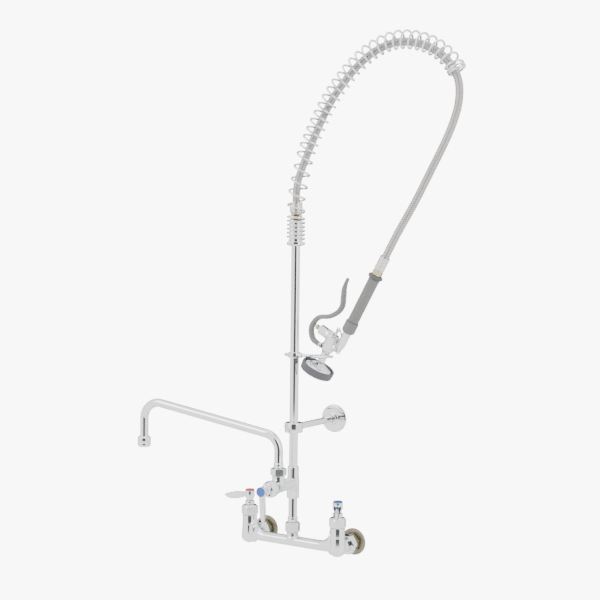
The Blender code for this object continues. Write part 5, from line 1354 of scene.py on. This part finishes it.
class FAUCET_OT_inlets(bpy.types.Operator):
    """Models the union nut, nipple and flange of both inlets"""

    bl_idname = "faucet.inlets"
    bl_label = "Inlets"

    def execute(self, context):
        build_inlet("hot", -1)
        build_inlet("cold", 1)
        return {"FINISHED"}


class FAUCET_OT_handles(bpy.types.Operator):
    """Models the bonnets and handles of both towers"""

    bl_idname = "faucet.handles"
    bl_label = "Handles"

    def execute(self, context):
        build_valve_head("hot", -1, -88.0, "red")
        build_valve_head("cold", 1, 27.0, "blue")
        return {"FINISHED"}


class FAUCET_OT_column(bpy.types.Operator):
    """Models the swivel nut, lower nipple and riser"""

    bl_idname = "faucet.column"
    bl_label = "Column"

    def execute(self, context):
        build_column()
        return {"FINISHED"}


class FAUCET_OT_add_on(bpy.types.Operator):
    """Models the add-on faucet's casting, bonnet, nut and handle"""

    bl_idname = "faucet.add_on"
    bl_label = "Add-on faucet"

    def execute(self, context):
        build_adf()
        build_adf_handle()
        return {"FINISHED"}


class FAUCET_OT_nozzle(bpy.types.Operator):
    """Models the swing nozzle and its outlet"""

    bl_idname = "faucet.nozzle"
    bl_label = "Swing nozzle"

    def execute(self, context):
        build_nozzle()
        return {"FINISHED"}


class FAUCET_OT_bracket(bpy.types.Operator):
    """Models the wall bracket"""

    bl_idname = "faucet.bracket"
    bl_label = "Wall bracket"

    def execute(self, context):
        build_bracket()
        return {"FINISHED"}


class FAUCET_OT_hook(bpy.types.Operator):
    """Models the hook that the spray valve sits in"""

    bl_idname = "faucet.hook"
    bl_label = "Finger hook"

    def execute(self, context):
        build_hook()
        return {"FINISHED"}


class FAUCET_OT_spring(bpy.types.Operator):
    """Models the seat and the overhead spring"""

    bl_idname = "faucet.spring"
    bl_label = "Overhead spring"

    def execute(self, context):
        build_spring(context.scene.faucet)
        return {"FINISHED"}


class FAUCET_OT_hose(bpy.types.Operator):
    """Models the hose and its two fittings"""

    bl_idname = "faucet.hose"
    bl_label = "Hose"

    def execute(self, context):
        build_hose(context.scene.faucet)
        return {"FINISHED"}


class FAUCET_OT_spray_valve(bpy.types.Operator):
    """Models the spray valve's casting, bonnet, stem and head"""

    bl_idname = "faucet.spray_valve"
    bl_label = "Spray valve"

    def execute(self, context):
        build_spray_body()
        build_head()
        return {"FINISHED"}


class FAUCET_OT_grip(bpy.types.Operator):
    """Models the grip, its sleeve and its ring"""

    bl_idname = "faucet.grip"
    bl_label = "Grip"

    def execute(self, context):
        build_grip()
        return {"FINISHED"}


class FAUCET_OT_squeeze_lever(bpy.types.Operator):
    """Models the squeeze lever and the ring that holds it"""

    bl_idname = "faucet.squeeze_lever"
    bl_label = "Squeeze lever"

    def execute(self, context):
        build_spray_lever()
        build_hold_ring()
        return {"FINISHED"}


class FAUCET_OT_inner_parts(bpy.types.Operator):
    """Gives the parts inside the valves their finishes"""

    bl_idname = "faucet.inner_parts"
    bl_label = "Inner parts"

    def execute(self, context):
        finish_hidden()
        return {"FINISHED"}


class FAUCET_OT_stage(bpy.types.Operator):
    """Sets up the camera, floor and soft light"""

    bl_idname = "faucet.stage"
    bl_label = "Stage"

    def execute(self, context):
        build_camera()
        build_studio(context.scene.faucet)
        return {"FINISHED"}


OPERATORS = (
    FAUCET_OT_stage,
    FAUCET_OT_hose,
    FAUCET_OT_spring,
    FAUCET_OT_base,
    FAUCET_OT_inlets,
    FAUCET_OT_handles,
    FAUCET_OT_column,
    FAUCET_OT_add_on,
    FAUCET_OT_nozzle,
    FAUCET_OT_bracket,
    FAUCET_OT_hook,
    FAUCET_OT_spray_valve,
    FAUCET_OT_grip,
    FAUCET_OT_squeeze_lever,
    FAUCET_OT_inner_parts,
)


class FAUCET_PT_panel(bpy.types.Panel):
    """Lists the faucet's sizes, colours and pieces"""

    bl_idname = "FAUCET_PT_panel"
    bl_label = "Pre Rinse Faucet"
    bl_space_type = "VIEW_3D"
    bl_region_type = "UI"
    bl_category = "Faucet"

    def draw(self, context):
        for name in FaucetSettings.__annotations__:
            self.layout.prop(context.scene.faucet, name)
        for operator in OPERATORS:
            self.layout.operator(operator.bl_idname)


CLASSES = (FaucetSettings,) + OPERATORS + (FAUCET_PT_panel,)


def register():
    for cls in CLASSES:
        bpy.utils.register_class(cls)
    bpy.types.Scene.faucet = PointerProperty(type=FaucetSettings)


def unregister():
    del bpy.types.Scene.faucet
    for cls in reversed(CLASSES):
        bpy.utils.unregister_class(cls)


def main():
    """Builds every piece in order."""
    register()
    for operator in OPERATORS:
        group, name = operator.bl_idname.split(".")
        getattr(getattr(bpy.ops, group), name)()


if __name__ == "__main__":
    main()
